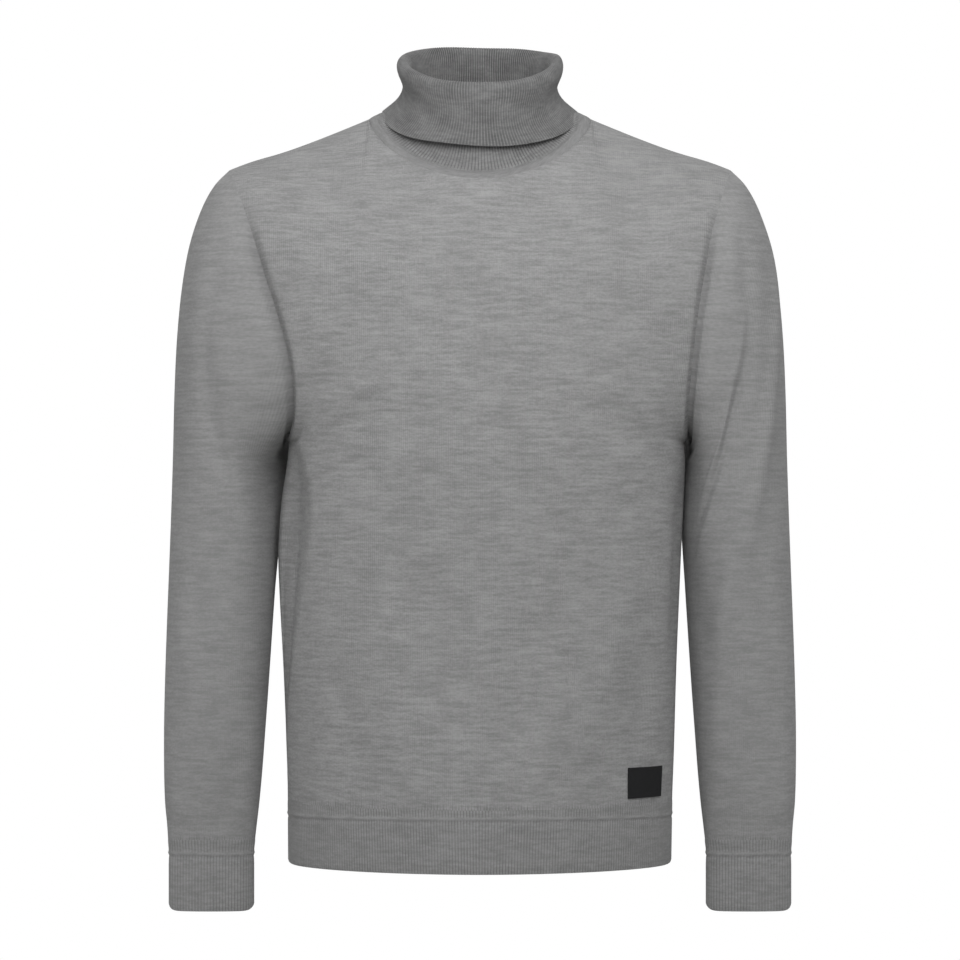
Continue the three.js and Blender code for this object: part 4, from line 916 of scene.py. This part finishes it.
# %% Melange finish
def melange(name, greys, valley_shade_colour, valley_shade_depth, streak_mm, bump_mm, wales=0.0, painted_rib_span=None):
    """Streaks of three greys over the yarn coordinates, painted shade in rib valleys, and a fine bump."""
    material, tree = new_finish(name)
    yarn = add(tree, "UVMap", uv_map="yarn")
    long_streak = noise(tree, yarn, streak_mm * LONG_SHARE, LONG_HEIGHT, 1.5, 3.1)
    short_streak = noise(tree, yarn, streak_mm * SHORT_SHARE, SHORT_HEIGHT, 2.0, 11.3)
    fleck = noise(tree, yarn, FLECK_LENGTH, FLECK_HEIGHT, 1.0, 23.9)
    streaks = add(tree, "Mix", {0: 0.45, 2: long_streak, 3: short_streak})
    streaks = add(tree, "Mix", {0: 0.3, 2: streaks, 3: fleck})
    streaks = add(tree, "Mix", {0: 0.14, 2: streaks, 3: noise(tree, yarn, 44, 20, 1.5, 37.7)})
    ramp = add(tree, "ValToRGB", {"Fac": streaks})
    ramp.color_ramp.interpolation = "B_SPLINE"
    ramp.color_ramp.elements.new(0.5)
    for element, position, grey in zip(ramp.color_ramp.elements, (0.34, 0.5, 0.66), greys):
        element.position = position
        element.color = linear(grey)
    # painted shade: the darker valley colour is mixed in where the mesh marks rib valleys and the turned
    # collar, unevenly in patches
    unshaded_share = add(tree, "Attribute", attribute_name="unshaded_share").outputs["Fac"]
    if painted_rib_span is not None:
        unshaded_share = add(tree, "Math", {0: unshaded_share, 1: fading_rib_shade(tree, yarn, *painted_rib_span)}, operation="MULTIPLY")
    depth = add(tree, "MapRange", {
        "Value": unshaded_share, "From Max": 0.75, "To Min": valley_shade_depth, "To Max": 0.0})
    uneven = add(tree, "MapRange", {
        "Value": noise(tree, yarn, 26, 18, 1.0, 61.0), "From Min": 0.35, "From Max": 0.65,
        "To Min": 0.75, "To Max": 1.15})
    valley = add(tree, "Math", {0: depth, 1: uneven}, operation="MULTIPLY")
    colour = add(tree, "Mix", {0: valley, 6: ramp, 7: linear(valley_shade_colour)}, data_type="RGBA")
    across = add(tree, "Mapping", {"Vector": yarn, "Scale": (1000 / WALE_PITCH, 0, 0)})
    wale = add(tree, "TexWave", {"Vector": across, "Scale": 1 / np.pi})
    patch = add(tree, "MapRange", {
        "Value": noise(tree, yarn, 42, 60, 1.0, 71.0), "From Min": 0.42, "From Max": 0.62,
        "To Min": 0.6 * wales, "To Max": wales})
    wale_height = add(tree, "Math", {0: wale.outputs["Fac"], 1: patch}, operation="MULTIPLY")
    height = add(tree, "Math", {0: fleck, 1: 0.5, 2: wale_height}, operation="MULTIPLY_ADD")
    bump = add(tree, "Bump", {"Height": height, "Strength": 0.8, "Distance": bump_mm * MM})
    rough = add(tree, "MapRange", {"Value": fleck, "To Min": 0.86, "To Max": 1.0})
    wool = add(tree, "BsdfPrincipled", {
        "Base Color": colour.outputs[2], "Roughness": rough, "Normal": bump,
        "IOR": 1.45, "Specular IOR Level": 0.2, "Sheen Weight": 0.12, "Sheen Roughness": 0.5})
    add(tree, "OutputMaterial", {"Surface": wool})
    return material


# one wool in a set of greys per piece, lighter or darker to match how that piece is lit: painted light and
# shade, darkest on the collar and the neck strip
BODY_GREYS, SLEEVE_GREYS = ("#7b7b7b", "#8b8b8b", "#9a9a9a"), ("#7d7d7d", "#898989", "#959595")
NECK_GREYS, BAND_GREYS = ("#6e6e6e", "#7b7b7b", "#898989"), ("#7c7c7c", "#888888", "#949494")
STRIP_GREYS = ("#777777", "#818181", "#8b8b8b")
# the valley greys and depths are painted shade; body and sleeves also get painted rib shade just above the
# hem and the cuffs
body_knit = melange(
    "wool_melange_body_knit", BODY_GREYS, "#626262", 0.5, 20, 0.3, wales=1.1, painted_rib_span=(HEM_SEAM, -602))
sleeve_knit = melange(
    "wool_melange_sleeve_knit", SLEEVE_GREYS, "#626262", 0.5, 20, 0.3, wales=0.6, painted_rib_span=(CUFF_SEAM, -639))
neck_rib_knit = melange("wool_melange_neck_rib", NECK_GREYS, "#3e3e3e", 0.72, 12, 0.2)
band_rib_knit = melange("wool_melange_band_rib", BAND_GREYS, "#585858", 0.6, 14, 0.2)
strip_knit = melange("wool_melange_strip", STRIP_GREYS, "#7d7d7d", 0.0, 9, 0.2, wales=0.15)
print("wool finishes:", [m.name for m in bpy.data.materials if m.name.startswith("wool")])

# %% [markdown]
# ## Woven tab
# The tab is close-woven polyester in near black, with a faint satin gloss. Its threads are 0.3 mm,
# drawn at 0.6 mm so that they can show.

# %% Woven finish
THREAD_MM = 0.6
tab_finish, tree = new_finish("polyester_woven_tab")
yarn = add(tree, "UVMap", uv_map="yarn")
threads = []
for axis, scale in (("X", (1000 / THREAD_MM, 0, 0)), ("Y", (0, 1000 / THREAD_MM, 0))):
    drawn = add(tree, "Mapping", {"Vector": yarn, "Scale": scale})
    drawn = add(tree, "TexWave", {"Vector": drawn, "Scale": 1.0}, bands_direction=axis)
    threads.append(drawn.outputs["Fac"])
weave = add(tree, "Math", {0: threads[0], 1: threads[1]}, operation="MULTIPLY")
clouds = add(tree, "TexNoise", {"Vector": yarn, "Scale": 260.0}, noise_dimensions="2D")
share = add(tree, "Math", {0: weave, 1: 0.5, 2: clouds}, operation="MULTIPLY_ADD")
colour = add(tree, "Mix", {0: share, 6: linear("#0e0e0f"), 7: linear("#19191b")}, data_type="RGBA")
bump = add(tree, "Bump", {"Height": weave, "Strength": 0.6, "Distance": 0.1 * MM})
shader = add(tree, "BsdfPrincipled", {
    "Base Color": colour.outputs[2], "Roughness": 0.62, "Normal": bump,
    "IOR": 1.5, "Specular IOR Level": 0.25, "Sheen Weight": 0.02})
add(tree, "OutputMaterial", {"Surface": shader})
print("woven finish:", tab_finish.name)

# %% [markdown]
# ## What each piece is and stands for
# Each piece rides on the only body, gets its finish, and hides the solid it stands for. Panels
# and sleeves hang from the neck and shoulders, the collar is folded over, the bands are stretched.

# %% Dress the frame
STRIP_KNIT, PANELS = ["neck_strip_knit"], ["front_panel_knit", "back_panel_knit"]
# piece: (solid it stands for, slot, finish, flat size in metres, how held, area, what it hangs from)
DRESS = {
    "front_panel_knit": ("front_panel", "grey_knit", body_knit, (0.49, 0.67), "hung", 0.262, STRIP_KNIT),
    "back_panel_knit": ("back_panel", "grey_knit", body_knit, (0.49, 0.68), "hung", 0.268, STRIP_KNIT),
    "sleeve_left_knit": ("sleeve_left", "grey_knit", sleeve_knit, (0.40, 0.62), "hung", 0.167, PANELS),
    "sleeve_right_knit": ("sleeve_right", "grey_knit", sleeve_knit, (0.40, 0.62), "hung", 0.163, PANELS),
    "cuff_left_rib": (
        "cuff_left", "grey_rib", band_rib_knit, (0.19, 0.066), "stretched", None, ["sleeve_left_knit"]),
    "cuff_right_rib": (
        "cuff_right", "grey_rib", band_rib_knit, (0.19, 0.066), "stretched", None, ["sleeve_right_knit"]),
    "hem_band_rib": ("hem_band", "grey_rib", band_rib_knit, (0.93, 0.056), "stretched", None, PANELS),
    "neck_strip_knit": ("neck_trim", "grey_trim", strip_knit, (0.45, 0.0105), "stretched", None, PANELS),
    "collar_rib": ("collar", "grey_rib", neck_rib_knit, (0.45, 0.126), "folded", None, STRIP_KNIT),
    "hem_tab_woven": ("label", "dark_tab", tab_finish, (0.044, 0.027), "laid", None, PANELS[:1]),
}
for name, (cad_node, slot, finish, flat, held, area, rests_on) in DRESS.items():
    piece = pieces[name]
    piece.data.materials.append(finish)
    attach(piece, "root")
    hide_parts(cad_node)
print("dressed:", len(DRESS), "pieces")

# %% [markdown]
# ## Light and floor
# The picture has a white surround and light that is a little stronger from above and ahead. A
# pale floor lies where a wearer would stand, well below the hem.

# %% Floor
FLOOR_Z, FLOOR_RADIUS, FLOOR_CORNERS = -1.45, 3.0, 96
turns = np.linspace(0, 2 * np.pi, FLOOR_CORNERS + 1)[:-1]
rim = [(FLOOR_RADIUS * np.cos(t), FLOOR_RADIUS * np.sin(t), FLOOR_Z) for t in turns]
floor_mesh = bpy.data.meshes.new("pale_floor")
floor_mesh.from_pydata(rim, [], [list(range(len(rim)))])
floor_finish, tree = new_finish("matt_pale_floor")
floor_shader = add(tree, "BsdfPrincipled", {"Base Color": linear("#e4e4e2"), "Roughness": 0.9})
add(tree, "OutputMaterial", {"Surface": floor_shader})
floor_mesh.materials.append(floor_finish)
put("pale_floor", floor_mesh)
print("floor at", FLOOR_Z, "m")

# %% Studio light
world = bpy.data.worlds.new("white_studio")
world.use_nodes = True
tree = world.node_tree
tree.nodes.clear()
direction = add(tree, "TexCoord")
height = add(tree, "SeparateXYZ", {"Vector": direction.outputs["Generated"]})
dome = add(tree, "MapRange", {
    "Value": height.outputs["Z"], "From Min": -0.6, "From Max": 1.0, "To Min": 0.05, "To Max": 0.58})
white = linear("#ffffff")
dome_light = add(tree, "Background", {"Color": white, "Strength": dome})
# the camera sees plain white, as in the picture
surround = add(tree, "Background", {"Color": white})
seen = add(tree, "LightPath")
both = add(tree, "MixShader", {0: seen.outputs["Is Camera Ray"], 1: dome_light, 2: surround})
add(tree, "OutputWorld", {"Surface": both})
bpy.context.scene.world = world


def soft_light(name, place, aim, size, watts, spread):
    """A square light that looks from its place to its aim, narrowed like a gridded box."""
    data = bpy.data.lights.new(name, "AREA")
    data.size = size
    data.energy = watts
    data.spread = np.radians(spread)
    light = put(name, data)
    light.location = place
    way = np.array(aim, float) - np.array(place, float)
    flat = np.hypot(way[0], way[1])
    light.rotation_euler = (np.arctan2(flat, -way[2]), 0, np.arctan2(-way[0], way[1]))
    print("light:", name, watts, "W")


soft_light("above_ahead", (0.12, -1.55, 0.8), (0.02, 0, 0.05), 1.3, 7.2, 80)
soft_light("left_side", (-1.7, -0.9, -0.35), (-0.25, 0, -0.45), 1.2, 2.9, 120)
soft_light("right_side", (1.7, -0.9, -0.35), (0.25, 0, -0.45), 1.2, 1.5, 120)
bpy.context.scene.view_settings.view_transform = "Standard"
